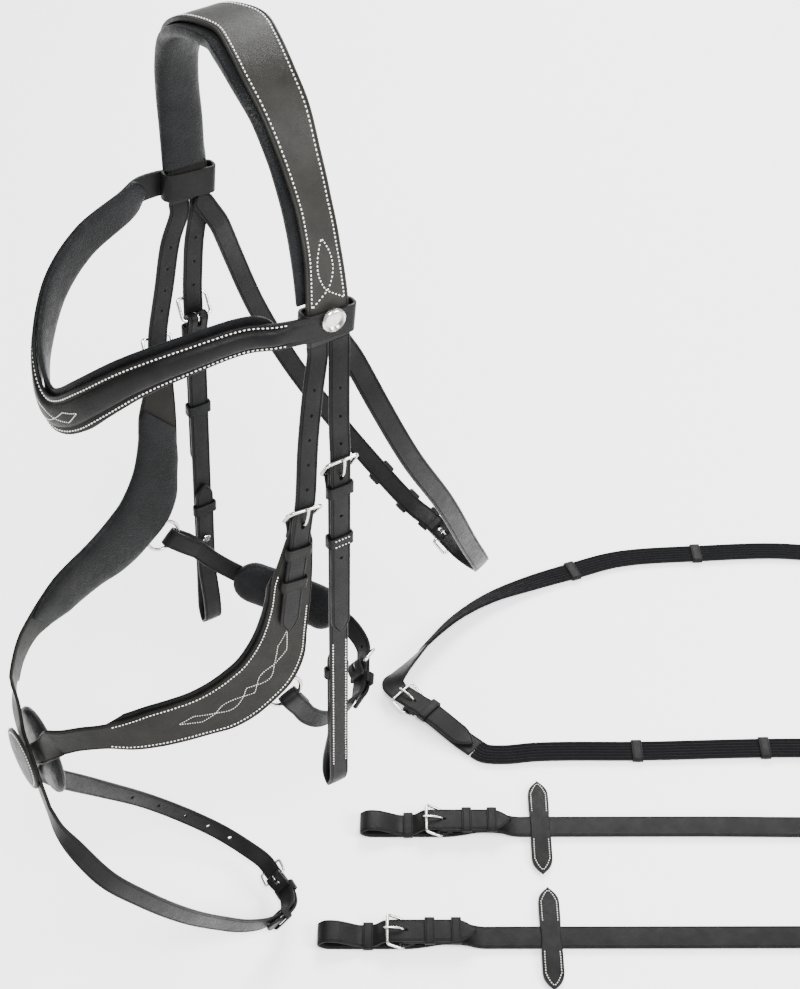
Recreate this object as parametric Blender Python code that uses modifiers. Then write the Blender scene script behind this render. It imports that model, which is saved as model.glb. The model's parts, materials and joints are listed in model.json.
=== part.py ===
"""A mexican bridle: a bridle with a crossed noseband, and a pair of web reins.

Frame: +Z up, the horse faces -Y, the horse's left side is +X. The origin is the
middle of the crown's underside, where the poll carries the whole bridle. The two
reins lie unbuckled from the bit on the ground beside it.
"""

import math

import bmesh
import bpy
import numpy as np

MM = 0.001
LEFT = 1
RIGHT = -1

# Leather and metal stock.
STRAP_WIDTH = 13.5 * MM
STRAP_THICK = 2.2 * MM
CLEAR = 0.3 * MM
EDGE = 0.45 * MM
HOLE_RADIUS = 1.1 * MM
SAG = 0.35 * MM

# Buckles.
BUCKLE_WIDTH = 22.5 * MM
BUCKLE_REACH = 12.5 * MM
WIRE_RADIUS = 1.15 * MM
TONGUE_RADIUS = 0.85 * MM
TONGUE_LIFT = math.radians(18)
KEEPER_HEIGHT = 8.0 * MM
KEEPER_WALL = 1.3 * MM

# Head sizes, across and down.
CROWN_THICK = 3.0 * MM
CROWN_TOP_WIDTH = 31.0 * MM
LOOP_HEIGHT = 18.0 * MM
LOOP_WALL = 2.0 * MM
BROW_REACH = 137.0 * MM
BROW_FRONT_WIDTH = 24.0 * MM
CHEEK_LENGTH = 286.0 * MM
NOSE_HALF_SPAN = 88.0 * MM
NOSE_REACH = 166.0 * MM
NOSE_REAR = -30.0 * MM
LINING_THICK = 5.0 * MM
RING_RADIUS = 12.0 * MM
RING_WIRE = 1.3 * MM
PATCH_RADIUS = 31.0 * MM

# Reins.
REIN_WIDTH = 20.0 * MM
GROUND = -764.0 * MM

BLACK = (0.012, 0.012, 0.013)
DARK = (0.018, 0.017, 0.016)
SOFT = (0.010, 0.011, 0.011)
WEB = (0.008, 0.008, 0.009)
STEEL = (0.75, 0.74, 0.72)


def vec(x, y, z):
    """A point given in millimetres, in metres."""
    return np.array([x, y, z], float) * MM


def unit(v):
    return np.asarray(v, float) / np.linalg.norm(v)


def sided(points, side):
    """Points worked out for the left side, mirrored for the right side."""
    return [np.asarray(p, float) * np.array([side, 1.0, 1.0]) for p in points]


# Scene, collections and materials.

for old in list(bpy.data.objects):
    bpy.data.objects.remove(old, do_unlink=True)

parts = bpy.data.collections.new("mexican_bridle")
cutters = bpy.data.collections.new("cutters")
bpy.context.scene.collection.children.link(parts)
bpy.context.scene.collection.children.link(cutters)


def material(name, colour, roughness, metallic=0.0):
    mat = bpy.data.materials.new(name)
    mat.use_nodes = True
    shader = mat.node_tree.nodes["Principled BSDF"]
    shader.inputs["Base Color"].default_value = (*colour, 1.0)
    shader.inputs["Roughness"].default_value = roughness
    shader.inputs["Metallic"].default_value = metallic
    mat.diffuse_color = (*colour, 1.0)
    return mat


def finish_for(name, kind):
    """Every piece has its own material, of one of the five finishes."""
    table = {
        "leather": (BLACK, 0.42, 0.0),
        "face": (DARK, 0.38, 0.0),
        "soft": (SOFT, 0.55, 0.0),
        "web": (WEB, 0.8, 0.0),
        "steel": (STEEL, 0.22, 1.0),
    }
    return material(name + "_" + kind, *table[kind])


def add_object(name, data, kind, pivot=None, hidden=False):
    """Link an object whose data is in world coordinates, with its origin at pivot."""
    obj = bpy.data.objects.new(name, data)
    if pivot is not None:
        obj.location = tuple(pivot)
    if hidden:
        obj.hide_render = True
        obj.display_type = "WIRE"
        cutters.objects.link(obj)
    else:
        data.materials.append(finish_for(name, kind))
        parts.objects.link(obj)
    return obj


def mesh_object(name, bodies, kind, pivot=None, hidden=False, smooth=True, side=LEFT):
    """One mesh object from a list of (points, faces) bodies."""
    pivot = None if pivot is None else sided([pivot], side)[0]
    shift = np.zeros(3) if pivot is None else pivot
    bm = bmesh.new()
    for points, faces in bodies:
        corners = [bm.verts.new(tuple(p - shift)) for p in sided(points, side)]
        for face in faces:
            bm.faces.new([corners[i] for i in face])
    bmesh.ops.recalc_face_normals(bm, faces=bm.faces)
    data = bpy.data.meshes.new(name)
    bm.to_mesh(data)
    bm.free()
    if smooth:
        data.shade_smooth()
        data.set_sharp_from_angle(angle=math.radians(35))
    return add_object(name, data, kind, pivot, hidden)


def boolean(obj, tool, operation):
    mod = obj.modifiers.new(operation.lower(), "BOOLEAN")
    mod.operation = operation
    mod.solver = "EXACT"
    mod.object = tool


# Paths: a smooth centre line with a width direction at each point.

def spline(points, steps=12):
    """Centripetal Catmull-Rom curve through the rows of points."""
    rows = np.asarray(points, float)
    rows = np.vstack([2 * rows[0] - rows[1], rows, 2 * rows[-1] - rows[-2]])
    curve = []
    for i in range(1, len(rows) - 2):
        p0, p1, p2, p3 = rows[i - 1:i + 3]
        t0 = 0.0
        t1 = t0 + math.sqrt(np.linalg.norm(p1[:3] - p0[:3]))
        t2 = t1 + math.sqrt(np.linalg.norm(p2[:3] - p1[:3]))
        t3 = t2 + math.sqrt(np.linalg.norm(p3[:3] - p2[:3]))
        for t in np.linspace(t1, t2, steps, endpoint=False):
            a1 = (t1 - t) / (t1 - t0) * p0 + (t - t0) / (t1 - t0) * p1
            a2 = (t2 - t) / (t2 - t1) * p1 + (t - t1) / (t2 - t1) * p2
            a3 = (t3 - t) / (t3 - t2) * p2 + (t - t2) / (t3 - t2) * p3
            b1 = (t2 - t) / (t2 - t0) * a1 + (t - t0) / (t2 - t0) * a2
            b2 = (t3 - t) / (t3 - t1) * a2 + (t - t1) / (t3 - t1) * a3
            curve.append((t2 - t) / (t2 - t1) * b1 + (t - t1) / (t2 - t1) * b2)
    curve.append(rows[-2])
    return np.array(curve)


class Path:
    """Centres and width directions; the face normal is tangent x width."""

    def __init__(self, centres, across):
        centres = np.asarray(centres, float)
        fresh = np.concatenate([[True], np.linalg.norm(np.diff(centres, axis=0), axis=1) > 1e-6])
        self.c = centres[fresh]
        gaps = np.linalg.norm(np.diff(self.c, axis=0), axis=1)
        self.s = np.concatenate([[0.0], np.cumsum(gaps)])
        self.length = self.s[-1]
        tangent = np.gradient(self.c, self.s, axis=0)
        self.t = tangent / np.linalg.norm(tangent, axis=1)[:, None]
        w = np.asarray(across, float)[fresh]
        w = w - np.sum(w * self.t, axis=1)[:, None] * self.t
        self.w = w / np.linalg.norm(w, axis=1)[:, None]
        self.n = np.cross(self.t, self.w)
        self.marks = None

    def at(self, s):
        """Centre, tangent, width direction and normal at arc length s."""
        centre = np.array([np.interp(s, self.s, self.c[:, k]) for k in range(3)])
        t = unit([np.interp(s, self.s, self.t[:, k]) for k in range(3)])
        w = np.array([np.interp(s, self.s, self.w[:, k]) for k in range(3)])
        w = unit(w - np.dot(w, t) * t)
        return centre, t, w, np.cross(t, w)

    def offset(self, distance):
        """The same path moved along its normal."""
        return Path(self.c + distance * self.n, self.w)

    def part(self, start, end, steps=24):
        """The stretch between two arc lengths; end before start turns it round."""
        rows = [self.at(s) for s in np.linspace(start, end, steps)]
        return Path([r[0] for r in rows], [r[2] for r in rows])

    def thinned(self, sag=SAG, turn=math.radians(24), gap=80 * MM):
        """Arc lengths to keep, so that no chord strays from the curve by more than sag."""
        if self.marks is not None:
            return list(self.marks)
        keep = [0]
        for i in range(1, len(self.s)):
            last = keep[-1]
            swing = max(angle(self.t[last], self.t[i]), angle(self.n[last], self.n[i]))
            reach = self.s[i] - self.s[last]
            if swing > turn or swing * reach / 8 > sag or reach > gap:
                keep.append(max(i - 1, last + 1))
        if keep[-1] != len(self.s) - 1:
            keep.append(len(self.s) - 1)
        return [self.s[i] for i in keep]


def inner_run(path, start, end, distance, count=120):
    """A layer inside the stretch of a path, and the stations that match the path's own."""
    own = [s for s in path.thinned() if start <= s <= end]
    inner = path.part(own[0], own[-1], count).offset(-distance)
    marks = np.linspace(own[0], own[-1], count)
    return inner, [float(np.interp(s, marks, inner.s)) for s in own]


def angle(a, b):
    return math.acos(max(-1.0, min(1.0, float(np.dot(a, b)))))


def route(points, across, steps=12):
    """A path through points, with one width direction or one for each point."""
    across = np.asarray(across, float)
    if across.ndim == 1:
        across = np.tile(across, (len(points), 1))
    rows = spline(np.hstack([np.asarray(points), across]), steps)
    return Path(rows[:, :3], rows[:, 3:])


def joined(*paths):
    """Several paths end to end, each with its own stations."""
    whole = Path(np.vstack([p.c for p in paths]), np.vstack([p.w for p in paths]))
    whole.marks = []
    for path in paths:
        start = nearest(whole, path.c[0])
        whole.marks += [start + s for s in path.thinned()]
    return whole


# Sections and lofts.

def flat_section(width, thick):
    """A strap's section, with its four long edges eased."""
    a, b, e = width / 2, thick / 2, min(EDGE, thick / 2.6)
    return [(-a, -b + e), (-a, b - e), (-a + e, b), (a - e, b),
            (a, b - e), (a, -b + e), (a - e, -b), (-a + e, -b)]


def pad_section(width, thick):
    """A padded section: flat on its leather side, crowned on the other."""
    a = width / 2
    return [(-a, -0.42 * thick), (-0.97 * a, 0.0), (0.97 * a, 0.0), (a, -0.42 * thick),
            (0.86 * a, -0.80 * thick), (0.62 * a, -0.93 * thick), (0.25 * a, -thick),
            (-0.25 * a, -thick), (-0.62 * a, -0.93 * thick), (-0.86 * a, -0.80 * thick)]


def ribbed_section(width, thick):
    """A web grip's section: three ribs along its upper face."""
    a, b, e = width / 2, thick / 2, 0.5 * MM
    return [(-a, -b), (-a, b - e), (-0.33 * a, b), (-0.30 * a, b - e), (0.30 * a, b - e), (0.33 * a, b),
            (a, b - e), (a, -b)]


def raised_section(width, thick):
    """A browband's section: stitched flat edges and a raised middle."""
    a, b, r = width / 2, thick / 2, 1.5 * MM
    return [(-a, -b), (-a, b - EDGE), (-a + EDGE, b), (-0.62 * a, b), (-0.45 * a, b + r),
            (0.45 * a, b + r), (0.62 * a, b), (a - EDGE, b), (a, b - EDGE), (a, -b)]


def loft(rings, closed=False):
    """A skin through equal rings of points; open ends are capped."""
    count, size = len(rings), len(rings[0])
    points = [p for ring in rings for p in ring]
    faces = []
    for i in range(count if closed else count - 1):
        j = (i + 1) % count
        for k in range(size):
            m = (k + 1) % size
            faces.append([i * size + k, i * size + m, j * size + m, j * size + k])
    if not closed:
        faces.append(list(range(size)))
        faces.append([(count - 1) * size + k for k in range(size)][::-1])
    return points, faces


def end_share(distance, width, shape):
    """Share of the full width at a distance from a strap's end."""
    if shape == "round":
        reach = width / 2
        rest = max(0.0, 1.0 - distance / reach)
        return max(0.30, math.sqrt(max(0.0, 1.0 - rest * rest)))
    if shape == "point":
        reach = width * 0.95
        return min(1.0, 0.22 + 0.78 * (max(0.0, distance) / reach) ** 0.75)
    return 1.0


END_STEPS = {"round": (0.06, 0.16, 0.30, 0.5), "point": (0.12, 0.3, 0.6, 0.95), "square": ()}


def strap_body(path, width, thick, start="square", end="square", section=flat_section, stops=None):
    """A strap along a path; width and thick are sizes or functions of arc length."""
    span = path.length
    wide = width if callable(width) else (lambda s: width)
    deep = thick if callable(thick) else (lambda s: thick)
    stops = set(path.thinned() if stops is None else stops)
    for share in END_STEPS[start]:
        stops.add(share * wide(0.0))
    for share in END_STEPS[end]:
        stops.add(span - share * wide(span))
    stops = sorted(stops)
    clean = [stops[0]]
    for s in stops[1:-1]:
        if s - clean[-1] > 0.4 * MM and stops[-1] - s > 0.4 * MM:
            clean.append(s)
    clean.append(stops[-1])
    rings = []
    for s in clean:
        centre, _, w, n = path.at(s)
        share = end_share(s, wide(s), start) * end_share(span - s, wide(s), end)
        rings.append([centre + a * w + b * n for a, b in section(wide(s) * share, deep(s))])
    return loft(rings)


def strap(name, path, width, thick, kind="leather", pivot=None, side=LEFT, **shape):
    return mesh_object(name, [strap_body(path, width, thick, **shape)], kind, pivot, side=side)


def by_table(rows):
    """A size that changes along a strap, from (arc length, size) rows."""
    lengths = [r[0] for r in rows]
    sizes = [r[1] for r in rows]
    return lambda s: float(np.interp(s, lengths, sizes))


def by_points(path, sizes, steps=12):
    """A size given at each of the points that a route goes through."""
    return by_table([(path.s[steps * i], size) for i, size in enumerate(sizes)])


# Local frames: u runs along the strap, n points away from the horse, w is across.

class Seat:
    def __init__(self, origin, u, n):
        self.p = np.asarray(origin, float)
        self.u = unit(u)
        n = np.asarray(n, float)
        self.n = unit(n - np.dot(n, self.u) * self.u)
        self.w = np.cross(self.u, self.n)

    def point(self, u, n, w=0.0):
        return self.p + u * self.u + n * self.n + w * self.w

    def moved(self, u, n=0.0):
        return Seat(self.point(u, n), self.u, self.n)


def nearest(path, point):
    """Arc length of a path's point nearest to the given point."""
    return float(path.s[np.argmin(np.linalg.norm(path.c - point, axis=1))])


def seat_on(path, s, outward=1):
    centre, t, _, n = path.at(s)
    return Seat(centre, t, outward * n)


def path_in(seat, rows, steps=12):
    """A path through (u, n) rows in a seat's plane, with one width direction."""
    points = [seat.point(u, n) for u, n in rows]
    return route(points, seat.w, steps)


def band_body(seat, half_width, low, high, height, wall, corner=1.2 * MM):
    """A leather loop round a strap: inner half width and inner faces low and high."""
    rings = []
    middle, reach = (low + high) / 2, (high - low) / 2
    for u in (-height / 2, height / 2):
        for grow in (0.0, wall):
            ring = []
            for turn in range(4):
                sign_w = 1 if turn in (0, 3) else -1
                sign_n = 1 if turn in (0, 1) else -1
                radius = corner + grow
                for step in range(3):
                    a = math.radians(90 * turn + 45 * step)
                    w = sign_w * (half_width - corner) + radius * math.cos(a)
                    n = middle + sign_n * (reach - corner) + radius * math.sin(a)
                    ring.append(seat.point(u, n, w))
            rings.append(ring)
    return loft([rings[0], rings[1], rings[3], rings[2]], closed=True)


def keeper_body(seat, back, front, width=STRAP_WIDTH, height=KEEPER_HEIGHT):
    """A keeper whose back wall is sewn in at back and whose front wall clears front."""
    half = width / 2 + 2.5 * CLEAR
    corner = min(1.2 * MM, (front - back) / 2 + 0.4 * MM)
    low = back + KEEPER_WALL / 2
    return band_body(seat, half, low, front + CLEAR, height, KEEPER_WALL, min(corner, (front + CLEAR - low) / 2.2))


def hole_body(centre, axis, across, radius=HOLE_RADIUS, stretch=0.0, depth=8 * MM, sides=6):
    """A round hole's cutter, or a slot's when stretch moves its two ends apart."""
    axis = unit(axis)
    across = unit(np.asarray(across) - np.dot(across, axis) * axis)
    along = np.cross(axis, across)
    rings = []
    for h in (-depth / 2, depth / 2):
        ring = []
        for k in range(sides):
            a = 2 * math.pi * (k + 0.5) / sides
            shift = stretch / 2 * (1 if math.sin(a) > 0 else -1)
            ring.append(centre + h * axis + radius * math.cos(a) * across + (radius * math.sin(a) + shift) * along)
        rings.append(ring)
    return loft(rings)


def box_body(seat, u, n, w):
    """A block between (low, high) pairs along a seat's three directions."""
    rings = []
    for side in w:
        rings.append([seat.point(u[0], n[0], side), seat.point(u[1], n[0], side),
                      seat.point(u[1], n[1], side), seat.point(u[0], n[1], side)])
    return loft(rings)


def cut(obj, bodies, side=LEFT):
    boolean(obj, mesh_object(obj.name + "_holes", bodies, None, None, True, False, side), "DIFFERENCE")


def fuse(obj, bodies, side=LEFT):
    for index, body in enumerate(bodies):
        tool = mesh_object(obj.name + "_sewn_%d" % index, [body], None, None, True, False, side)
        boolean(obj, tool, "UNION")


def hole_on(path, s, radius=HOLE_RADIUS):
    """A punched hole's cutter at an arc length of a strap."""
    centre, _, w, n = path.at(s)
    return hole_body(centre, n, w, radius)


def hole_at(seat, u, radius=HOLE_RADIUS, depth=5 * MM):
    """A punched hole's cutter at a distance from a buckle's seat."""
    return hole_body(seat.point(u, 0), seat.n, seat.w, radius, 0.0, depth)


def mirrored(body):
    points, faces = body
    return sided(points, RIGHT), faces


def circle(axis, radius, steps):
    """Points of a circle about an axis through the origin."""
    first = unit(np.cross(axis, (0.3, 0.2, 0.9)))
    second = np.cross(unit(axis), first)
    angles = [2 * math.pi * k / steps for k in range(steps)]
    return [radius * (math.cos(a) * first + math.sin(a) * second) for a in angles]


def torus_body(centre, axis, radius, tube, steps=24, sides=8):
    rings = []
    for spoke in circle(axis, 1.0, steps):
        ring = []
        for k in range(sides):
            a = 2 * math.pi * (k + 0.5) / sides
            ring.append(centre + (radius + tube * math.cos(a)) * spoke + tube * math.sin(a) * unit(axis))
        rings.append(ring)
    return loft(rings, closed=True)


def wire(name, points, radius, closed, pivot=None, sides=1, kind="steel", side=LEFT):
    """Bent wire as a bevelled curve."""
    points = sided(points, side)
    pivot = None if pivot is None else sided([pivot], side)[0]
    shift = np.zeros(3) if pivot is None else pivot
    data = bpy.data.curves.new(name, "CURVE")
    data.dimensions = "3D"
    data.bevel_depth = radius
    data.bevel_resolution = sides
    data.use_fill_caps = not closed
    line = data.splines.new("POLY")
    line.points.add(len(points) - 1)
    for item, point in zip(line.points, points):
        item.co = (*(np.asarray(point) - shift), 1.0)
    line.use_cyclic_u = closed
    line.use_smooth = True
    return add_object(name, data, kind, pivot)


def turned(name, profile, centre, axis, kind="steel", steps=16, side=LEFT):
    """A turned piece: (radius, height) rows, outer side first from the top down."""
    centre, axis = sided([centre, axis], side)
    data = bpy.data.meshes.new(name)
    rows = [(r, 0.0, h) for r, h in profile]
    data.from_pydata(rows, [(i, i + 1) for i in range(len(rows) - 1)], [])
    obj = add_object(name, data, kind)
    mod = obj.modifiers.new("turn", "SCREW")
    mod.steps = steps
    mod.render_steps = steps
    mod.use_merge_vertices = True
    mod.merge_threshold = 0.00002
    mod.use_smooth_shade = True
    obj.rotation_mode = "QUATERNION"
    from_z = np.array([0.0, 0.0, 1.0])
    axis = unit(axis)
    turn_axis = np.cross(from_z, axis)
    size = np.linalg.norm(turn_axis)
    if size > 1e-6:
        half = math.atan2(size, float(np.dot(from_z, axis))) / 2
        obj.rotation_quaternion = (math.cos(half), *(math.sin(half) * turn_axis / size))
    obj.location = tuple(centre)
    return obj


# Buckles: the billet lies at n = 0, the chape's upper layer under it.

LAYER = STRAP_THICK + CLEAR
BAR_U = BUCKLE_REACH / 2
CHAPE_N = -(STRAP_THICK + CLEAR)
BAR_N = CHAPE_N - STRAP_THICK / 2 - CLEAR - WIRE_RADIUS
END_N = STRAP_THICK / 2 + CLEAR + WIRE_RADIUS
FOLD_RADIUS = WIRE_RADIUS + CLEAR + STRAP_THICK / 2
TONGUE_EYE = WIRE_RADIUS + CLEAR + TONGUE_RADIUS
CHAPE_START = BAR_U + 6 * MM
SLOT_HALF = TONGUE_RADIUS + 0.55 * MM


def buckle(name, seat, width=BUCKLE_WIDTH, side=LEFT):
    """The bent frame, tilted so that its end bar stands over the billet."""
    half = width / 2 - WIRE_RADIUS
    corner = 2.2 * MM
    along = np.array([2 * BAR_U, BAR_N - END_N])
    reach = np.linalg.norm(along)
    along = along / reach
    middle_n = (BAR_N + END_N) / 2
    points = []
    for turn in range(4):
        sign_w = 1 if turn in (0, 3) else -1
        sign_v = 1 if turn in (0, 1) else -1
        for step in range(3):
            a = math.radians(90 * turn + 45 * step)
            w = sign_w * (half - corner) + corner * math.cos(a)
            v = sign_v * (reach / 2 - corner) + corner * math.sin(a)
            points.append(seat.point(v * along[0], middle_n + v * along[1], w))
    return wire(name, points, WIRE_RADIUS, True, side=side)


def tongue(name, seat, side=LEFT):
    """The tongue: wire wrapped round the heel bar, up through the billet's hole."""
    pivot = seat.point(BAR_U, BAR_N)
    points = []
    for degrees in range(-150, 31, 30):
        a = math.radians(degrees)
        points.append(seat.point(BAR_U + TONGUE_EYE * math.cos(a), BAR_N + TONGUE_EYE * math.sin(a)))
    top = END_N + WIRE_RADIUS + CLEAR + TONGUE_RADIUS
    points.append(seat.point(BAR_U + 0.9 * MM, STRAP_THICK * 0.2))
    points.append(seat.point(BAR_U - 1.2 * MM, STRAP_THICK / 2 + 1.9 * MM))
    points.append(seat.point(-BAR_U + 3 * MM, top))
    points.append(seat.point(-BAR_U - 2.2 * MM, top))
    return wire(name, points, TONGUE_RADIUS, False, pivot, side=side)


def tongue_hole(seat):
    """The slot in the billet that the tongue stands in and swings through."""
    travel = abs(BAR_N) * math.tan(TONGUE_LIFT)
    length = 2 * TONGUE_RADIUS + travel + 2.0 * MM
    middle = BAR_U + 0.5 * MM + travel / 2
    radius = TONGUE_RADIUS + 0.45 * MM
    return hole_body(seat.point(middle, 0), seat.n, seat.w, radius, length - 2 * radius, 5 * MM)


def chape_slot(seat):
    """The slot cut through the fold for the tongue's eye."""
    u = (BAR_U - FOLD_RADIUS - 3 * MM, BAR_U + TONGUE_EYE + 3.4 * MM)
    n = (BAR_N - FOLD_RADIUS - 3 * MM, CHAPE_N + STRAP_THICK + 0.2 * MM)
    return box_body(seat, u, n, (-SLOT_HALF, SLOT_HALF))


def chape_rows(tail, back=CHAPE_N - STRAP_THICK - 0.4 * MM):
    """(u, n) rows of a strap's end folded round the heel bar, tail first."""
    rows = [(BAR_U + tail, back), (BAR_U + 0.6 * tail, back), (BAR_U + 4.6 * MM, BAR_N - FOLD_RADIUS + 1.0 * MM)]
    for degrees in range(-90, -271, -30):
        a = math.radians(degrees)
        rows.append((BAR_U + FOLD_RADIUS * math.cos(a), BAR_N + FOLD_RADIUS * math.sin(a)))
    rows.append((CHAPE_START, CHAPE_N))
    return rows


def over_reach(base, over, reach):
    """The upper layer's arc length above a given arc length of the base."""
    return float(np.interp(reach, base.s, over.s))


def over_path(lead, seat, base, reach, lead_across=None, sink=0.0, rise=0.7 * MM):
    """A billet: its lead points, straight through the buckle, then on top of the base strap."""
    across = [seat.w] * len(lead) if lead_across is None else list(lead_across)
    points = list(lead) + [seat.point(-BUCKLE_REACH, -sink), seat.point(0, 0), seat.point(CHAPE_START, 0)]
    ahead = route(points, across + [seat.w] * 3)
    lift = LAYER + rise * np.minimum(1.0, base.s / (5 * MM))
    over = Path(base.c - lift[:, None] * base.n, base.w)
    start = 5 * MM
    end_mark = over_reach(base, over, reach)
    samples = np.linspace(over_reach(base, over, start), end_mark, 90)
    top = over.part(samples[0], end_mark, 90)
    wanted = [over_reach(base, over, s) for s in base.thinned() if start < s < reach]
    top.marks = [0.0] + [float(np.interp(s, samples, top.s)) for s in wanted] + [top.length]
    return joined(ahead, top)


def keeper_on(path, s, slack=1.4 * MM, width=STRAP_WIDTH):
    """A keeper sewn into a buckle's strap, with the billet running through it."""
    return keeper_body(seat_on(path, s, -1), 0.0, LAYER + STRAP_THICK / 2 + slack, width)


def loose_keeper(name, seat, low, high, side=LEFT, width=STRAP_WIDTH):
    """A leather band round the layers between low and high, free to slide."""
    body = band_body(seat, width / 2 + 2 * CLEAR, low - CLEAR, high + CLEAR, KEEPER_HEIGHT, KEEPER_WALL)
    return mesh_object(name, [body], "leather", seat.p, side=side)


def buckle_set(prefix, seat, side=LEFT, width=BUCKLE_WIDTH):
    """A buckle and its tongue on one seat, on the given side."""
    SEATS[prefix] = (seat, side)
    buckle(prefix + "_buckle", seat, width, side)
    tongue(prefix + "_tongue", seat, side)


SEATS = {}


# The crown, its padding, and the browband with its loops.

CROWN_ROWS = [(0, -3, 13), (17, -5.5, 11), (36, -8.5, 4.5), (54, -9, -9), (67, -8.5, -30),
              (75.5, -6.5, -56), (79.5, -4.5, -85), (81.5, -4, -114), (82, -4, -142)]
CROWN_WIDTHS = [31, 30.5, 30, 28, 24, 21.5, 22.5, 26, 27]
CROWN_PAD_WIDTHS = [38, 37, 34, 30, 27, 27, 28, 28]
CROWN_PAD_DEPTHS = [11.2, 11, 9.5, 8, 7, 7, 6, 4.5]


def both_ways(rows):
    """Rows for the left half from the middle down, doubled to run right to left."""
    return [(-x, y, z) for x, y, z in rows[:0:-1]] + list(rows)


def doubled(sizes, scale=MM):
    return [size * scale for size in list(sizes[:0:-1]) + list(sizes)]


crown = route([vec(*row) for row in both_ways(CROWN_ROWS)], (0, 1, 0))
crown_share = CROWN_TOP_WIDTH / (31 * MM)
crown_leather = strap("crown_leather", crown, by_points(crown, doubled(CROWN_WIDTHS, crown_share * MM)),
                      CROWN_THICK, kind="face")

pad_run, pad_stops = inner_run(crown, crown.s[12], crown.s[-13], CROWN_THICK / 2 + 2 * CLEAR)
pad_run = Path(pad_run.c - 3 * MM * pad_run.w, pad_run.w)
pad_marks = [(crown.s[12 * (i + 1)] - crown.s[12]) / (crown.s[-13] - crown.s[12]) for i in range(15)]
pad_width = by_table([(share * pad_run.length, size) for share, size in zip(pad_marks, doubled(CROWN_PAD_WIDTHS))])
pad_depth = by_table([(share * pad_run.length, size) for share, size in zip(pad_marks, doubled(CROWN_PAD_DEPTHS))])
strap("crown_padding", pad_run, pad_width, pad_depth, kind="soft", section=pad_section, stops=pad_stops)

CROWN_END = vec(82, -4, -129)
LOOP_TILT = math.radians(6)
LOOP_HALF_WIDTH = 15.5 * MM
LOOP_LOW = CROWN_END[0] - CROWN_THICK / 2 - CLEAR - STRAP_THICK - 0.4 * MM
LOOP_HIGH = CROWN_END[0] + CROWN_THICK / 2 + 0.4 * MM
loop_seat = Seat((0, CROWN_END[1], CROWN_END[2]), (0, -math.sin(LOOP_TILT), -math.cos(LOOP_TILT)), (1, 0, 0))
loop_band = band_body(loop_seat, LOOP_HALF_WIDTH, LOOP_LOW, LOOP_HIGH, LOOP_HEIGHT, LOOP_WALL, 2.4 * MM)

BROW_ANGLES = [(90, -187.5, 24.5), (83, -185.5, 24.5), (75, -179, 24.5), (65, -166, 24), (50, -146.5, 22.5), (35, -133.5, 20.5), (20, -126.5, 18.5)]
brow_rows = []
for degrees, height, _ in BROW_ANGLES:
    a = math.radians(degrees)
    brow_rows.append((80 * math.cos(a), -4 - BROW_REACH / MM * math.sin(a), height))
brow_rows += [(82.6, -37, -125.5), (84.9, -24, -126.5), (85.1, -14, -128)]
BROW_WIDTHS = [row[2] for row in BROW_ANGLES] + [17.5, 17, 16.5]
brow = route([vec(*row) for row in both_ways(brow_rows)], (0, 0, 1))
brow.marks = brow.thinned(0.2 * MM)
brow_width = by_points(brow, doubled(BROW_WIDTHS, BROW_FRONT_WIDTH / 24))
browband = strap("browband_leather", brow, brow_width, STRAP_THICK, section=raised_section)
fuse(browband, [loop_band, mirrored(loop_band)])

brow_ends = 22 * MM
brow_pad, brow_stops = inner_run(brow, brow_ends, brow.length - brow_ends, STRAP_THICK / 2 + CLEAR + 1.0 * MM)
brow_pad = Path(brow_pad.c + 1 * MM * brow_pad.w, brow_pad.w)
strap("browband_lining", brow_pad, lambda s: brow_width(s + brow_ends) + 4.5 * MM, 3.6 * MM, kind="soft",
      section=pad_section, stops=brow_stops)

badge_seat = Seat(vec(82, -3, -125.5), (0, 0, -1), (1, 0, 0))
badge_base = LOOP_HIGH + LOOP_WALL + CLEAR
turned("browband_badge", [(0, 2.4 * MM), (3.5 * MM, 2.2 * MM), (6.2 * MM, 1.6 * MM), (7.5 * MM, 0.6 * MM),
                          (7.5 * MM, 0), (0, 0)], (badge_base, badge_seat.p[1], badge_seat.p[2]), (1, 0, 0))


# Cheekpieces and their billets, one side after the other.

CHEEK_SEAT = Seat(vec(91, -4, -229), (0.0226, -0.0383, -0.999), (1, 0, 0))
CHEEK_TOP = -142.8
CHEEK_TIP = 136 * MM
BACK_N = CHAPE_N - STRAP_THICK - 0.4 * MM
STUD_U = 204 * MM
LOOP_U = CHEEK_LENGTH
cheek_fold = chape_rows(20 * MM)
cheek_rows = cheek_fold + [
    (CHAPE_START + 20 * MM, CHAPE_N), (LOOP_U - 120 * MM, CHAPE_N), (LOOP_U - 50 * MM, CHAPE_N),
    (LOOP_U - 24 * MM, CHAPE_N + 0.2 * MM), (LOOP_U - 8 * MM, CHAPE_N - 0.4 * MM), (LOOP_U, CHAPE_N - 4.6 * MM),
    (LOOP_U - 5 * MM, CHAPE_N - 9.4 * MM), (LOOP_U - 20 * MM, CHAPE_N - 9.6 * MM), (LOOP_U - 38 * MM, CHAPE_N - 6 * MM),
    (LOOP_U - 52 * MM, BACK_N - 0.3 * MM), (LOOP_U - 66 * MM, BACK_N), (LOOP_U - 120 * MM, BACK_N),
    (LOOP_U - 133 * MM, BACK_N)]
cheek_line = path_in(CHEEK_SEAT, cheek_rows)
cheek_lead = [vec(82, 3, CHEEK_TOP), vec(82, 3, -149), vec(84.3, 1.2, -161), vec(87, -1, -178), vec(89.5, -3, -205)]
cheek_over = route(cheek_lead + [CHEEK_SEAT.point(u, 0) for u in (-12 * MM, 0, 40 * MM, 90 * MM, CHEEK_TIP)],
                   CHEEK_SEAT.w)
CHEEK_AXIS = vec(82, 3, CHEEK_TOP) - np.array([0, 0, 1.2 * MM])


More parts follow.
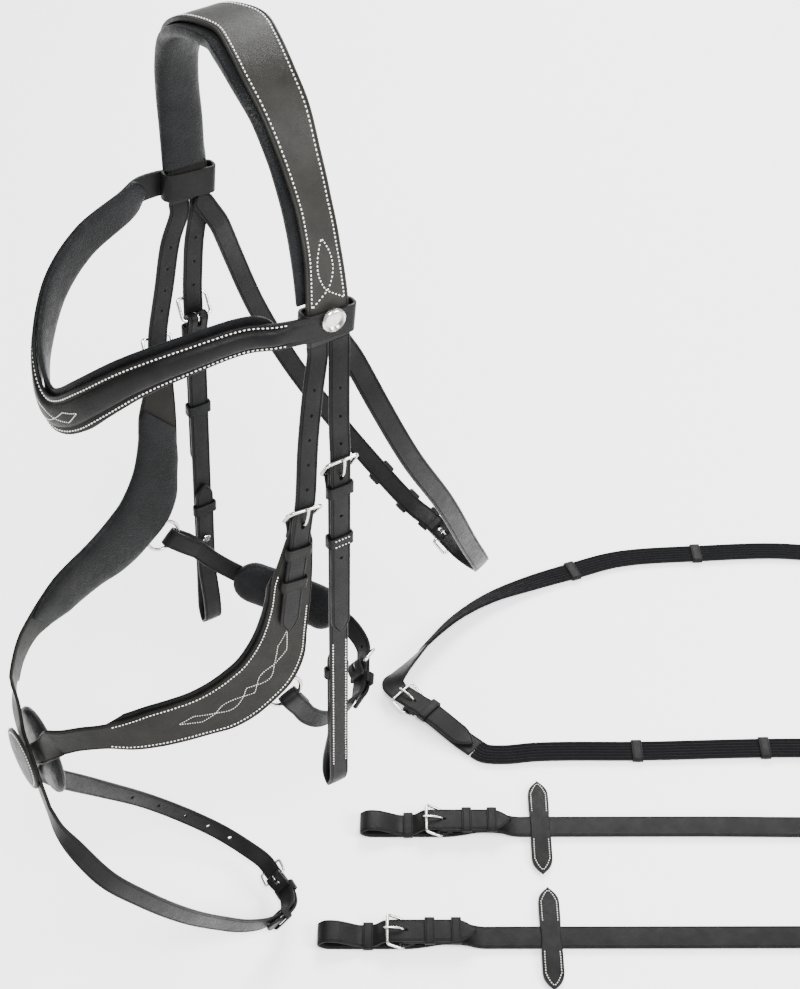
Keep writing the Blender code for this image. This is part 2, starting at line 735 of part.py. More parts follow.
def cheek(side, prefix, runner_u):
    billet = strap(prefix + "_cheek_billet", cheek_over, STRAP_WIDTH, STRAP_THICK, side=side,
                   pivot=CHEEK_AXIS, end="point")
    holes = [hole_on(cheek_over, s * MM) for s in (32, 51, 70)]
    holes += [hole_at(CHEEK_SEAT, u * MM) for u in (38, 55, 72)]
    cut(billet, holes + [tongue_hole(CHEEK_SEAT)], side)
    piece = strap(prefix + "_cheekpiece", cheek_line, STRAP_WIDTH, STRAP_THICK, side=side, end="point",
                  pivot=CHEEK_SEAT.point(BAR_U, BAR_N))
    fuse(piece, [keeper_body(CHEEK_SEAT.moved(18 * MM), CHAPE_N, STRAP_THICK / 2),
                 keeper_body(CHEEK_SEAT.moved(LOOP_U - 111 * MM), BACK_N - 0.2 * MM, CHAPE_N + STRAP_THICK / 2)], side)
    cut(piece, [chape_slot(CHEEK_SEAT), hole_at(CHEEK_SEAT, STUD_U, 1.9 * MM, 24 * MM)], side)
    buckle_set(prefix + "_cheek", CHEEK_SEAT, side)
    runner = CHEEK_SEAT.moved(runner_u)
    loose_keeper(prefix + "_cheek_runner", runner, CHAPE_N - STRAP_THICK / 2, STRAP_THICK / 2, side)
    low = BACK_N - STRAP_THICK / 2 - CLEAR
    high = CHAPE_N + STRAP_THICK / 2 + CLEAR
    profile = [(0, high + 1.9 * MM), (2.2 * MM, high + 1.7 * MM), (3.3 * MM, high + 0.8 * MM), (3.3 * MM, high),
               (1.5 * MM, high), (1.5 * MM, low), (3.0 * MM, low), (3.0 * MM, low - 0.9 * MM), (0, low - 0.9 * MM)]
    turned(prefix + "_hook_stud", profile, CHEEK_SEAT.point(STUD_U, 0), CHEEK_SEAT.n, side=side, steps=12)


cheek(LEFT, "left", 58 * MM)
cheek(RIGHT, "right", 85 * MM)


# The noseband: crescents on an upright elliptic surface, their linings and hangers.

NOSE_FLARE = 2.5 * MM
NOSE_TOP = -262 * MM
NOSE_PLUMB = -340 * MM
theta_table = np.linspace(math.radians(-20), math.radians(92), 600)
plan_table = np.stack([NOSE_HALF_SPAN * np.cos(theta_table), NOSE_REAR - NOSE_REACH * np.sin(theta_table)], axis=1)
arc_table = np.concatenate([[0.0], np.cumsum(np.linalg.norm(np.diff(plan_table, axis=0), axis=1))])
arc_table -= np.interp(0.0, theta_table, arc_table)


def nose_point(s, z, offset=0.0):
    """A point on the noseband surface: arc forward from its widest place, height."""
    theta = np.interp(s, arc_table, theta_table)
    out = unit([math.cos(theta) / NOSE_HALF_SPAN, -math.sin(theta) / NOSE_REACH, 0.0])
    flare = NOSE_FLARE * max(0.0, min(1.0, (z - NOSE_PLUMB) / (NOSE_TOP - NOSE_PLUMB)))
    base = np.array([NOSE_HALF_SPAN * math.cos(theta) + flare, NOSE_REAR - NOSE_REACH * math.sin(theta), z])
    return base + offset * out, out


CRESCENT_UPPER = [(13, -274), (17, -286), (22, -301), (25, -321), (33, -346), (45, -364), (54, -371), (66, -378),
                  (79, -383), (93, -386), (107, -389), (121, -394), (136, -399), (151, -403), (166, -410), (176, -414)]
CRESCENT_LOWER = [(-6, -279), (-5, -308), (-3, -333), (0, -357), (3, -379), (12, -397), (25, -408), (40, -417),
                  (54, -421), (69, -421), (85, -422), (102, -423), (118, -423), (134, -421), (152, -425), (164, -432)]
nose_start, nose_out = nose_point(1.0 * MM, -253 * MM, LAYER)
nose_next, _ = nose_point(6.0 * MM, -288 * MM, LAYER)
NOSE_SEAT = Seat(nose_start, nose_next - nose_start, nose_out)
PAD_FRONT = -187.4
TAIL_LEFT = [(22, -189.4, -437), (11, -190.4, -451), (0, -190.6, -464), (-9, -190.2, -481), (-15, -188.6, -500)]
TAIL_RIGHT = [(22, -189.6, -437), (11, -192.9, -450), (0, -193.8, -462), (-14, -195.4, -474), (-31, -197.2, -483)]
TAIL_WIDTHS = [17, 16, 15, 14.5, 14]


def edge_stations():
    """Pairs of lower and upper edge points with the outward direction between them."""
    low = spline([[s * MM, z * MM] for s, z in CRESCENT_LOWER], 2)
    high = spline([[s * MM, z * MM] for s, z in CRESCENT_UPPER], 2)
    stations = []
    for (s0, z0), (s1, z1) in zip(low, high):
        lower, _ = nose_point(s0, z0)
        upper, _ = nose_point(s1, z1)
        _, out = nose_point((s0 + s1) / 2, (z0 + z1) / 2)
        out = unit(out - np.dot(out, unit(upper - lower)) * unit(upper - lower))
        stations.append((lower, upper, out))
    return stations


def station_ring(lower, upper, out, thick, section, shift=0.0):
    middle, across = (lower + upper) / 2, unit(upper - lower)
    size = np.linalg.norm(upper - lower)
    return [middle + a * across + (b + shift) * out for a, b in section(size, thick)]


def crescent_rings(tail_rows):
    fold = path_in(NOSE_SEAT, chape_rows(13 * MM))
    rings = []
    for s in fold.thinned():
        centre, _, w, n = fold.at(s)
        rings.append([centre + a * w - b * n for a, b in flat_section(STRAP_WIDTH, STRAP_THICK)])
    stations = edge_stations()
    for lower, upper, out in stations:
        rings.append(station_ring(lower, upper, out, STRAP_THICK, flat_section))
    last_lower, last_upper, last_out = stations[-1]
    centres = [(last_lower + last_upper) / 2] + [vec(*row) for row in tail_rows]
    across = [unit(last_upper - last_lower)]
    for i in range(1, len(centres)):
        ahead = centres[min(i + 1, len(centres) - 1)] - centres[i - 1]
        across.append(unit(np.cross(ahead, last_out * 0 + np.array([0, -1, 0]))))
    tail = route(centres, np.array(across))
    widths = by_table([(tail.s[12 * i], w * MM) for i, w in enumerate([21] + TAIL_WIDTHS)])
    for s in tail.thinned()[1:]:
        centre, _, w, n = tail.at(s)
        n = n if n[1] < 0 else -n
        rings.append([centre + a * w + b * n for a, b in flat_section(widths(s), STRAP_THICK)])
    return rings


RING_CENTRE, RING_OUT = nose_point(17 * MM, -408 * MM, -STRAP_THICK / 2 - CLEAR - RING_WIRE - 0.4 * MM)
NOSE_TIP = 94 * MM


def nose_cheek(side, prefix, tail_rows, first_hole):
    piece = mesh_object(prefix + "_crescent", [loft(crescent_rings(tail_rows))], "face", side=side)
    billet_points = [vec(82, -11, -142.4), vec(82, -11, -149), vec(86, -17.5, -172), vec(88.8, -23.5, -205)]
    billet_points += [NOSE_SEAT.point(u, 0) for u in (-12 * MM, 0, CHAPE_START)]
    for s, z in ((7.5, -296), (10.5, -318), (14, -347)):
        billet_points.append(nose_point(s * MM, z * MM, LAYER + 0.2 * MM)[0])
    over = route(billet_points, NOSE_SEAT.w)
    keepers = []
    for s, z in ((5.3, -281), (9, -307)):
        centre, out = nose_point(s * MM, z * MM)
        keepers.append(keeper_body(Seat(centre, NOSE_SEAT.u, out), 0.0, LAYER + STRAP_THICK / 2 + 0.35 * MM))
    fuse(piece, keepers, side)
    cut(piece, [chape_slot(NOSE_SEAT)], side)
    billet = strap(prefix + "_noseband_billet", over, STRAP_WIDTH, STRAP_THICK, side=side, end="point")
    holes = [hole_on(over, (first_hole + 16.5 * i) * MM) for i in range(5 if side == LEFT else 4)]
    cut(billet, holes + [tongue_hole(NOSE_SEAT)], side)
    buckle_set(prefix + "_noseband", NOSE_SEAT, side)
    lining_rings = []
    stations = edge_stations()[3:25]
    for index, (lower, upper, out) in enumerate(stations):
        rise = unit(upper - lower)
        share = min(1.0, 0.55 + 0.15 * min(index, len(stations) - 1 - index))
        lining_rings.append(station_ring(lower + 0.5 * MM * rise, upper + 2.2 * MM * rise, out, LINING_THICK * share,
                                         pad_section, -STRAP_THICK / 2 - CLEAR))
    lining = mesh_object(prefix + "_crescent_lining", [loft(lining_rings)], "soft", side=side)
    cut(lining, [torus_body(RING_CENTRE, RING_OUT, RING_RADIUS, RING_WIRE + 0.4 * MM)], side)
    ring = [RING_CENTRE + p for p in circle(RING_OUT, RING_RADIUS, 24)]
    wire(prefix + "_ring", ring, RING_WIRE, True, RING_CENTRE, side=side)


nose_cheek(LEFT, "left", TAIL_LEFT, 28)
nose_cheek(RIGHT, "right", TAIL_RIGHT, 34)


# The nose patch.

PATCH_CENTRE = vec(0, 0, -463)
turned("patch_padding", [(0, 0), (PATCH_RADIUS - 2.5 * MM, 0), (PATCH_RADIUS - 0.6 * MM, -1.2 * MM),
                         (PATCH_RADIUS, -3.2 * MM), (PATCH_RADIUS - 1 * MM, -5 * MM), (PATCH_RADIUS - 4 * MM, -6.4 * MM),
                         (PATCH_RADIUS / 2, -7 * MM), (0, -7.2 * MM)],
       (0, PAD_FRONT * MM, PATCH_CENTRE[2]), (0, -1, 0), kind="soft", steps=24)
turned("patch_leather", [(0, 2.6 * MM), (12 * MM, 2.5 * MM), (21 * MM, 2.0 * MM), (21.8 * MM, 1.4 * MM),
                         (21.8 * MM, 0), (0, 0)], (0, -197.6 * MM, PATCH_CENTRE[2]), (0, -1, 0), kind="face", steps=24)


# The lower strap of the noseband.

LOWER_ACROSS = unit((0, 0.85, 0.53))
LOWER_TURN = unit((0.2, 0.65, 0.75))
LOWER_SEAT = Seat(vec(-12, -18, -744), (0.98, 0.08, -0.18), (0, 0.53, -0.85))
LOWER_AXIS = vec(0, -188, -501)
lower_base = route([LOWER_SEAT.point(CHAPE_START, CHAPE_N), LOWER_SEAT.point(CHAPE_START + 6 * MM, CHAPE_N),
                    vec(18, -22, -745.5), vec(28, -34, -740), vec(35, -50, -729), vec(43, -72, -705), vec(50, -93, -676),
                    vec(64, -126, -622), vec(71, -158, -567), vec(69, -181, -527), vec(56, -193.5, -499),
                    vec(45, -197, -489.5), vec(31.9, -197.4, -483.7)],
                   [LOWER_SEAT.w] * 9 + [LOWER_ACROSS, LOWER_TURN, unit((0.4, 0.3, 0.9)), unit((0.47, 0, 0.88))])
lower_fold = path_in(LOWER_SEAT, chape_rows(11 * MM))
lower_path = joined(lower_fold, lower_base)
lower_strap = strap("lower_strap", lower_path, STRAP_WIDTH, STRAP_THICK, pivot=LOWER_AXIS)
fuse(lower_strap, [keeper_on(lower_base, 5 * MM)])
cut(lower_strap, [chape_slot(LOWER_SEAT)])
lower_lead = [vec(-15.1, -188.3, -501.05), vec(-22, -174, -524), vec(-50, -133, -596), vec(-62, -95, -651),
              vec(-60, -64, -691), vec(-51, -42, -717), vec(-37, -26.5, -734.5)]
lower_over = over_path(lower_lead, LOWER_SEAT, lower_base, 58 * MM, rise=1.1 * MM)
lower_billet = strap("lower_billet", lower_over, STRAP_WIDTH, STRAP_THICK, pivot=LOWER_AXIS, end="point")
cut(lower_billet, [hole_on(lower_over, s * MM) for s in (160, 196, 229, 255, 278)] + [tongue_hole(LOWER_SEAT)])
buckle_set("lower", LOWER_SEAT)
lower_spot = seat_on(lower_base, 38 * MM, -1)
loose_keeper("lower_keeper", lower_spot, -STRAP_THICK / 2 - 0.7 * MM, LAYER + STRAP_THICK / 2 + 1.5 * MM)


# The jowl strap between the rings, with its chin pad.

JOWL_ACROSS = unit((0, 0.61, 0.79))
JOWL_SEAT = Seat(vec(42, 38, -471), (0.84, -0.53, -0.10), (0.36, 0.70, -0.62))
jowl_onward = [vec(65, 17.5, -474.5), vec(72, 1, -471), vec(79, -16, -461), vec(84, -30, -443)]


def ring_seat(back, down):
    """A seat in a ring's plane, looking from its centre along the strap."""
    along = np.array([0.0, back, -down])
    return Seat(RING_CENTRE, along - np.dot(along, RING_OUT) * RING_OUT, RING_OUT)


NEAR_RING = ring_seat(0.44, 0.90)
FAR_RING = ring_seat(0.73, 0.68)
RING_BEND = RING_RADIUS - 2.9 * MM
RING_FOLD = RING_WIRE + CLEAR + STRAP_THICK / 2 + 0.6 * MM


def ring_rows(gap):
    """Rows round a ring from the main strap, through the ring, to the inner tail."""
    rows = [(25 * MM, 0.6 * MM), (18 * MM, 2.0 * MM)]
    for degrees in range(90, 271, 30):
        a = math.radians(degrees)
        rows.append((RING_BEND + RING_FOLD * math.cos(a), RING_FOLD * math.sin(a)))
    return rows + [(18 * MM, -gap * 0.75), (30 * MM, -gap)]


jowl_base = route([JOWL_SEAT.point(CHAPE_START, CHAPE_N), JOWL_SEAT.point(CHAPE_START + 6 * MM, CHAPE_N)]
                  + jowl_onward + [NEAR_RING.point(u, n) for u, n in ring_rows(4.2 * MM)],
                  [JOWL_SEAT.w] * 2 + [JOWL_ACROSS] * 4 + [-NEAR_RING.w] * 11)
jowl_strap = strap("jowl_strap", joined(path_in(JOWL_SEAT, chape_rows(11 * MM)), jowl_base), STRAP_WIDTH, STRAP_THICK,
                   pivot=RING_CENTRE)
fuse(jowl_strap, [keeper_on(jowl_base, 5 * MM)])
cut(jowl_strap, [chape_slot(JOWL_SEAT)])
far_rows = [FAR_RING.point(u, n) for u, n in ring_rows(8 * MM)][::-1]
jowl_lead = [p * np.array([-1, 1, 1]) for p in far_rows]
jowl_lead += [vec(-80, -12, -448), vec(-64, 6, -462), vec(-40, 26, -468), vec(-10, 40, -466), vec(14, 45.5, -466.5)]
jowl_over = over_path(jowl_lead, JOWL_SEAT, jowl_base, 26 * MM,
                      [-FAR_RING.w] * 11 + [JOWL_ACROSS] * 5, rise=1.3 * MM)
jowl_billet = strap("jowl_billet", jowl_over, STRAP_WIDTH, STRAP_THICK, pivot=RING_CENTRE * np.array([-1, 1, 1]),
                    end="point")
cut(jowl_billet, [tongue_hole(JOWL_SEAT), hole_at(JOWL_SEAT, -12 * MM)])
buckle_set("jowl", JOWL_SEAT)

CHIN_PAD_WIDTH = 31 * MM
CHIN_PAD_THICK = 7.5 * MM
chin_start = nearest(jowl_over, vec(-69, 0, -459))
chin_end = nearest(jowl_over, vec(2, 43, -466))
chin_run = jowl_over.part(chin_start, chin_end, 30).offset(STRAP_THICK / 2 + CLEAR + 0.2 * MM)
strap("chin_pad", Path(chin_run.c, -chin_run.w), CHIN_PAD_WIDTH, CHIN_PAD_THICK, kind="soft", section=pad_section,
      start="round", end="round")


# The throatlash.

THROAT_PIVOT = vec(79.0, 4, -146)
THROAT_ACROSS = unit((0, -0.9, -0.45))
THROAT_SEAT = Seat(vec(-17, 148.5, -458.5), (-0.78, -0.33, 0.53), (0, 0.45, -0.90))
throat_top = THROAT_PIVOT - STRAP_WIDTH / 2 * unit((0, 0.45, -0.90))
throat_base = route([THROAT_SEAT.point(CHAPE_START, CHAPE_N), THROAT_SEAT.point(CHAPE_START + 8 * MM, CHAPE_N),
                     vec(-42, 135, -440), vec(-62, 118, -411), vec(-81, 93, -364), vec(-91, 69, -315),
                     vec(-92.5, 43, -252), vec(-87, 25, -198), vec(-82.5, 18.5, -179), vec(-79.3, 13, -164),
                     vec(-79.0, 7.6, -153.2),
                     throat_top * np.array([-1, 1, 1])], THROAT_ACROSS)
throat_path = joined(path_in(THROAT_SEAT, chape_rows(11 * MM)), throat_base)
throat_strap = strap("throatlash_strap", throat_path, STRAP_WIDTH, STRAP_THICK,
                     pivot=THROAT_PIVOT * np.array([-1, 1, 1]), end="round")
throat_marks = [8 * MM, 28 * MM, 58 * MM]
fuse(throat_strap, [keeper_on(throat_base, s) for s in throat_marks])
cut(throat_strap, [chape_slot(THROAT_SEAT)])
throat_lead = [throat_top, vec(79.0, 7.6, -153.2), vec(79.3, 13, -164), vec(82.5, 18.5, -179), vec(87, 25, -198), vec(91, 44, -245), vec(81, 77, -308),
               vec(57, 114, -384), vec(36, 140.5, -435), vec(20, 151, -455), vec(7, 153.6, -462.8)]
throat_over = over_path(throat_lead, THROAT_SEAT, throat_base, 82 * MM, sink=1.3 * MM, rise=1.0 * MM)
throat_billet = strap("throatlash_billet", throat_over, STRAP_WIDTH, STRAP_THICK, pivot=THROAT_PIVOT,
                      start="round", end="point")
throat_zero = nearest(throat_over, THROAT_SEAT.p)
cut(throat_billet, [tongue_hole(THROAT_SEAT)] + [hole_on(throat_over, throat_zero - s * MM) for s in (19, 36, 53)])
buckle_set("throatlash", THROAT_SEAT)


# The reins, lying on the ground.

REIN_ALONG = unit((0.537, 0.843, 0))
REIN_ASIDE = unit((0.843, -0.537, 0))
REIN_FLOOR = GROUND + 1.6 * MM + STRAP_THICK / 2
ROOT_N = BAR_N - FOLD_RADIUS - STRAP_THICK - CLEAR
UP = np.array([0.0, 0.0, 1.0])


def ground_points(rows, rise=0.0):
    """Ground points from (along, aside) rows in millimetres, at a strap's middle height."""
    return [row[0] * MM * REIN_ALONG + row[1] * MM * REIN_ASIDE
            + (REIN_FLOOR + rise + (row[2] * MM if len(row) > 2 else 0.0)) * UP for row in rows]


def level(points):
    """Width directions of a strap lying flat."""
    rows = np.asarray(points)
    ahead = np.gradient(rows, axis=0)
    return [unit(np.cross(UP, step)) for step in ahead]


def rein_seat(along, aside):
    return Seat(ground_points([(along, aside)])[0] - ROOT_N * UP, REIN_ALONG, UP)


def rein(prefix, seat, onward, stop_u):
    """A leather rein end: root on the ground, loop for the bit, billet, buckle and stop."""
    root = [seat.point(u * MM, ROOT_N + n * MM) for u, n in
            ((110, 0), (92, 0), (79, 0), (70, 0), (64, 1.3), (57, 4.2), (50, 5.5), (36, 5.6), (24, 2.4),
             (12, 0.1), (0, 0), (-20, 0), (-44, 0))]
    turn = [seat.point(-56 * MM, ROOT_N + 1.0 * MM), seat.point(-60.5 * MM, ROOT_N / 2 - 0.2 * MM),
            seat.point(-56 * MM, -1.0 * MM), seat.point(-47 * MM, -0.9 * MM), seat.point(-38 * MM, -3.8 * MM),
            seat.point(-29 * MM, ROOT_N + LAYER + 0.3 * MM), seat.point(-22 * MM, ROOT_N + LAYER + 0.1 * MM),
            seat.point(-15.5 * MM, ROOT_N + LAYER + 1.4 * MM), seat.point(-8.5 * MM, -1.0 * MM), seat.point(0, 0),
            seat.point(CHAPE_START, 0), seat.point(40 * MM, 0), seat.point(64 * MM, 0)]
    start = ground_points(onward)
    points = start + root + turn
    across = level(start + root[:1])[:-1] + [seat.w] * (len(root) + len(turn))
    path = route(points, across)
    piece = strap(prefix, path, REIN_WIDTH, STRAP_THICK, end="point", pivot=seat.point(0, ROOT_N))
    chape = path_in(seat, chape_rows(9 * MM) + [(CHAPE_START + 18 * MM, CHAPE_N), (60 * MM, CHAPE_N)])
    back = keeper_body(seat.moved(-21.5 * MM), ROOT_N, ROOT_N + LAYER + STRAP_THICK / 2 + 0.35 * MM, REIN_WIDTH)
    keepers = [keeper_body(seat.moved(u * MM), CHAPE_N, STRAP_THICK / 2, REIN_WIDTH) for u in (27, 48)]
    fuse(piece, [strap_body(chape, REIN_WIDTH - 0.5 * MM, STRAP_THICK), back] + keepers)
    cut(piece, [chape_slot(seat), tongue_hole(seat)])
    buckle_set(prefix, seat, width=REIN_WIDTH + 9 * MM)
    rein_stop(prefix + "_stop", seat_on(path, nearest(path, seat.point(stop_u * MM, ROOT_N))))
    return path


def rein_stop(name, seat):
    """A leather leaf across the rein, sewn in two layers with the rein between them."""
    length, width, wall = 94 * MM, 17 * MM, 1.3 * MM
    inner = STRAP_THICK / 2 + CLEAR + 0.15 * MM
    rings = []
    marks = ((-47, 3), (-44, 11), (-38, 16), (-26, 17), (-15, 17), (15, 17), (26, 17), (38, 16), (44, 11), (47, 3))
    for w, size in marks:
        half = size / 34 * width
        deep = inner + wall if abs(w) <= 15 else inner + wall - (abs(w) - 15) / 32 * inner * 1.1
        rings.append([seat.point(u, n, w / 94 * length) for u, n in
                      ((-half, -deep), (-half, deep), (half, deep), (half, -deep))])
    leaf = mesh_object(name, [loft(rings)], "leather", seat.p)
    gap = REIN_WIDTH / 2 + CLEAR + 0.2 * MM
    cut(leaf, [box_body(seat, (-width, width), (-inner, inner), (-gap, gap))])
    return leaf


FIRST_SEAT = rein_seat(108.8, -58.5)
SECOND_SEAT = rein_seat(76.6, 49.0)
first_turn = [(545.3, -78.8), (535, -73), (505, -62), (464, -58.2), (330, -58.5)]
second_turn = [(560, 49), (500, 49), (400, 49), (300, 49)]
first_path = rein("first_rein", FIRST_SEAT, first_turn, 88.0)
second_path = rein("second_rein", SECOND_SEAT, second_turn, 120.0)


# The web grips, joined at the middle by a buckle.

WEB_THICK = 3.0 * MM
CENTRE_ALONG = unit(0.76 * REIN_ALONG + 0.65 * REIN_ASIDE)
CENTRE_SEAT = Seat(ground_points([(87.4, -192)])[0] - ROOT_N * UP, CENTRE_ALONG, UP)
WEB_RISE = (WEB_THICK - STRAP_THICK) / 2


def web(name, rows, tilts, stops):
    """A web grip lying on the ground, with small leather stops sewn round it."""
    points = ground_points(rows, WEB_RISE)
    across = level(points)
    for index, degrees in tilts:
        lean = math.radians(degrees)
        across[index] = math.cos(lean) * across[index] + math.sin(lean) * UP
    path = route(points, across, 10)
    piece = strap(name, path, REIN_WIDTH - 0.6 * MM, WEB_THICK, kind="web", section=ribbed_section)
    bands = []
    for along, aside in stops:
        seat = seat_on(path, nearest(path, ground_points([(along, aside)], WEB_RISE)[0]))
        inner = WEB_THICK / 2 - 0.35 * MM
        bands.append(band_body(seat, REIN_WIDTH / 2 - 0.9 * MM, -inner, inner, 9 * MM, 1.6 * MM, 0.9 * MM))
    fuse(piece, bands)
    return path


upper_rows = [(545.6, -78.97), (556, -85.2), (604.7, -138), (626.5, -219.5), (604.7, -300.8), (545.3, -360), (464, -382),
              (366, -380), (291, -372.7), (245.6, -356.7), (202, -339, 0.5), (165, -319, 2.5), (134, -293, 4.5),
              (113, -267, 6.5), (102.4, -252.2, 7.2)]
web("first_rein_web", upper_rows, [(10, 8), (11, 25), (12, 42), (13, 55), (14, 60)], [(366, -380), (245.6, -356.7)])
lower_rows = [(147.1, -140.9), (154, -136.2), (172, -134.8), (196, -137.5), (224, -138.5), (286, -138.5), (397, -141.5),
              (480, -141.5), (556, -141.5, 0.2), (580, -141, 3.8), (602, -139.5, 5.0), (622, -134, 3.8),
              (643, -123, 0.2), (672, -92), (684, -46.5), (670, 2), (630, 37), (590, 48.5), (560.35, 49)]
web("second_rein_web", lower_rows, [], [(286, -138.5), (397, -141.5)])

centre_rows = [(CHAPE_START, CHAPE_N), (20 * MM, CHAPE_N), (34 * MM, CHAPE_N - 1.2 * MM),
               (50 * MM, CHAPE_N - 4.4 * MM), (64 * MM, ROOT_N + 0.9 * MM), (77.5 * MM, ROOT_N + WEB_RISE)]
centre_base = path_in(CENTRE_SEAT, centre_rows)
centre_chape = strap("centre_chape", joined(path_in(CENTRE_SEAT, chape_rows(9 * MM)), centre_base), REIN_WIDTH,
                     STRAP_THICK, kind="leather")
fuse(centre_chape, [keeper_on(centre_base, 12 * MM, width=REIN_WIDTH)])
cut(centre_chape, [chape_slot(CENTRE_SEAT)])
centre_lead = ground_points([(101.9, -251.4, 7.2), (91, -235, 8.6), (80.5, -219.5, 9.6), (74.5, -208.5, 10.1)])
lean = [math.radians(d) for d in (60, 50, 35, 15)]
centre_side = level(centre_lead)
centre_across = [math.cos(a) * w + math.sin(a) * UP for a, w in zip(lean, centre_side)]
centre_over = over_path(centre_lead, CENTRE_SEAT, centre_base, 62 * MM,
                        [w if np.dot(w, CENTRE_SEAT.w) > 0 else -w for w in centre_across])
centre_billet = strap("centre_billet", centre_over, REIN_WIDTH, STRAP_THICK, end="point")
cut(centre_billet, [tongue_hole(CENTRE_SEAT)])
buckle_set("centre", CENTRE_SEAT, width=REIN_WIDTH + 9 * MM)
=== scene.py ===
"""The looks of a mexican bridle with a crossed noseband and web reins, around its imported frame."""

import json
import math

import bmesh
import bpy
import numpy as np
from mathutils import Matrix

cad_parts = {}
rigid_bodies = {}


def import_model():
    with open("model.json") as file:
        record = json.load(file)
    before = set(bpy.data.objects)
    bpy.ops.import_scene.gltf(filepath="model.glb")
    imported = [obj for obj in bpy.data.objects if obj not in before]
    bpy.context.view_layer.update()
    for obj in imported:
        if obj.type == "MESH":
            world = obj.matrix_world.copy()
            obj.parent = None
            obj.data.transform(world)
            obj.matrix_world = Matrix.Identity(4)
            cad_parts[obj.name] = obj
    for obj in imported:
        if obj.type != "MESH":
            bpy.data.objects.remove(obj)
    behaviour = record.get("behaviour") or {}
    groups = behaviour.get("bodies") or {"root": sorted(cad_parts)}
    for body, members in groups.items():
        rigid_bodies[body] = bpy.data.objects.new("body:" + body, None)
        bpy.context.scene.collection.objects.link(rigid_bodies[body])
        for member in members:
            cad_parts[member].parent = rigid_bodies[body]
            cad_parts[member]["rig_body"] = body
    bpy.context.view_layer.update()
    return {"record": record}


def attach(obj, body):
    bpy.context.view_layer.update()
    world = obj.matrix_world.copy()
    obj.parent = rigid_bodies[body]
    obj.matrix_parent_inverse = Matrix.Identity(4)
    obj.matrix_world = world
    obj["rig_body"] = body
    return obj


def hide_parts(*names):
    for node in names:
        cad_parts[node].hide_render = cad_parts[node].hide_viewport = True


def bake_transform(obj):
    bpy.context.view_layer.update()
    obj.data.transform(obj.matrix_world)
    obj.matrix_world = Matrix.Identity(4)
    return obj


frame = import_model()

MM = 0.001
LEFT = 1
RIGHT = -1

# Leather and metal stock.
STRAP_WIDTH = 13.5 * MM
STRAP_THICK = 2.2 * MM
CLEAR = 0.3 * MM
HOLE_RADIUS = 1.1 * MM

# Buckles.
BUCKLE_WIDTH = 22.5 * MM
BUCKLE_REACH = 12.5 * MM
WIRE_RADIUS = 1.15 * MM
TONGUE_RADIUS = 0.85 * MM
TONGUE_LIFT = math.radians(18)
KEEPER_HEIGHT = 8.0 * MM
KEEPER_WALL = 1.3 * MM

# Head sizes, across and down.
CROWN_THICK = 3.0 * MM
LOOP_HEIGHT = 18.0 * MM
LOOP_WALL = 2.0 * MM
BROW_REACH = 137.0 * MM
CHEEK_LENGTH = 286.0 * MM
NOSE_HALF_SPAN = 88.0 * MM
NOSE_REACH = 166.0 * MM
NOSE_REAR = -30.0 * MM
LINING_THICK = 5.0 * MM
RING_RADIUS = 12.0 * MM
RING_WIRE = 1.3 * MM
PATCH_RADIUS = 31.0 * MM

# Reins.
REIN_WIDTH = 20.0 * MM
GROUND = -764.0 * MM

# The way the horse faces, up, and the points that a smooth line takes between two given ones.
FORWARD = np.array([0.0, -1.0, 0.0])
UP = np.array([0.0, 0.0, 1.0])
STEPS = 12


def vec(x, y, z):
    """A point given in millimetres, in metres."""
    return np.array([x, y, z], float) * MM


def vecs(rows):
    return [vec(*row) for row in rows]


def unit(v):
    return np.asarray(v, float) / np.linalg.norm(v)


def sided(points, side):
    """Points worked out for the left side, mirrored for the right side."""
    return [np.asarray(p, float) * np.array([side, 1.0, 1.0]) for p in points]


# Paths: a smooth centre line with a width direction at each point.

def between(a, b, low, high, t):
    """The value at t of the line that is a at low and b at high."""
    return (high - t) / (high - low) * a + (t - low) / (high - low) * b


def spline(points, steps=STEPS):
    """Centripetal Catmull-Rom curve through the rows of points."""
    rows = np.asarray(points, float)
    rows = np.vstack([2 * rows[0] - rows[1], rows, 2 * rows[-1] - rows[-2]])
    curve = []
    for i in range(1, len(rows) - 2):
        p = rows[i - 1:i + 3]
        k = np.concatenate([[0.0], np.cumsum(np.sqrt(np.linalg.norm(np.diff(p[:, :3], axis=0), axis=1)))])
        for t in np.linspace(k[1], k[2], steps, endpoint=False):
            a = [between(p[j], p[j + 1], k[j], k[j + 1], t) for j in range(3)]
            b = [between(a[j], a[j + 1], k[j], k[j + 2], t) for j in range(2)]
            curve.append(between(b[0], b[1], k[1], k[2], t))
    curve.append(rows[-2])
    return np.array(curve)


def read_at(s, lengths, table):
    """The row of a table at an arc length, between the rows that stand at lengths."""
    return np.array([np.interp(s, lengths, table[:, k]) for k in range(3)])


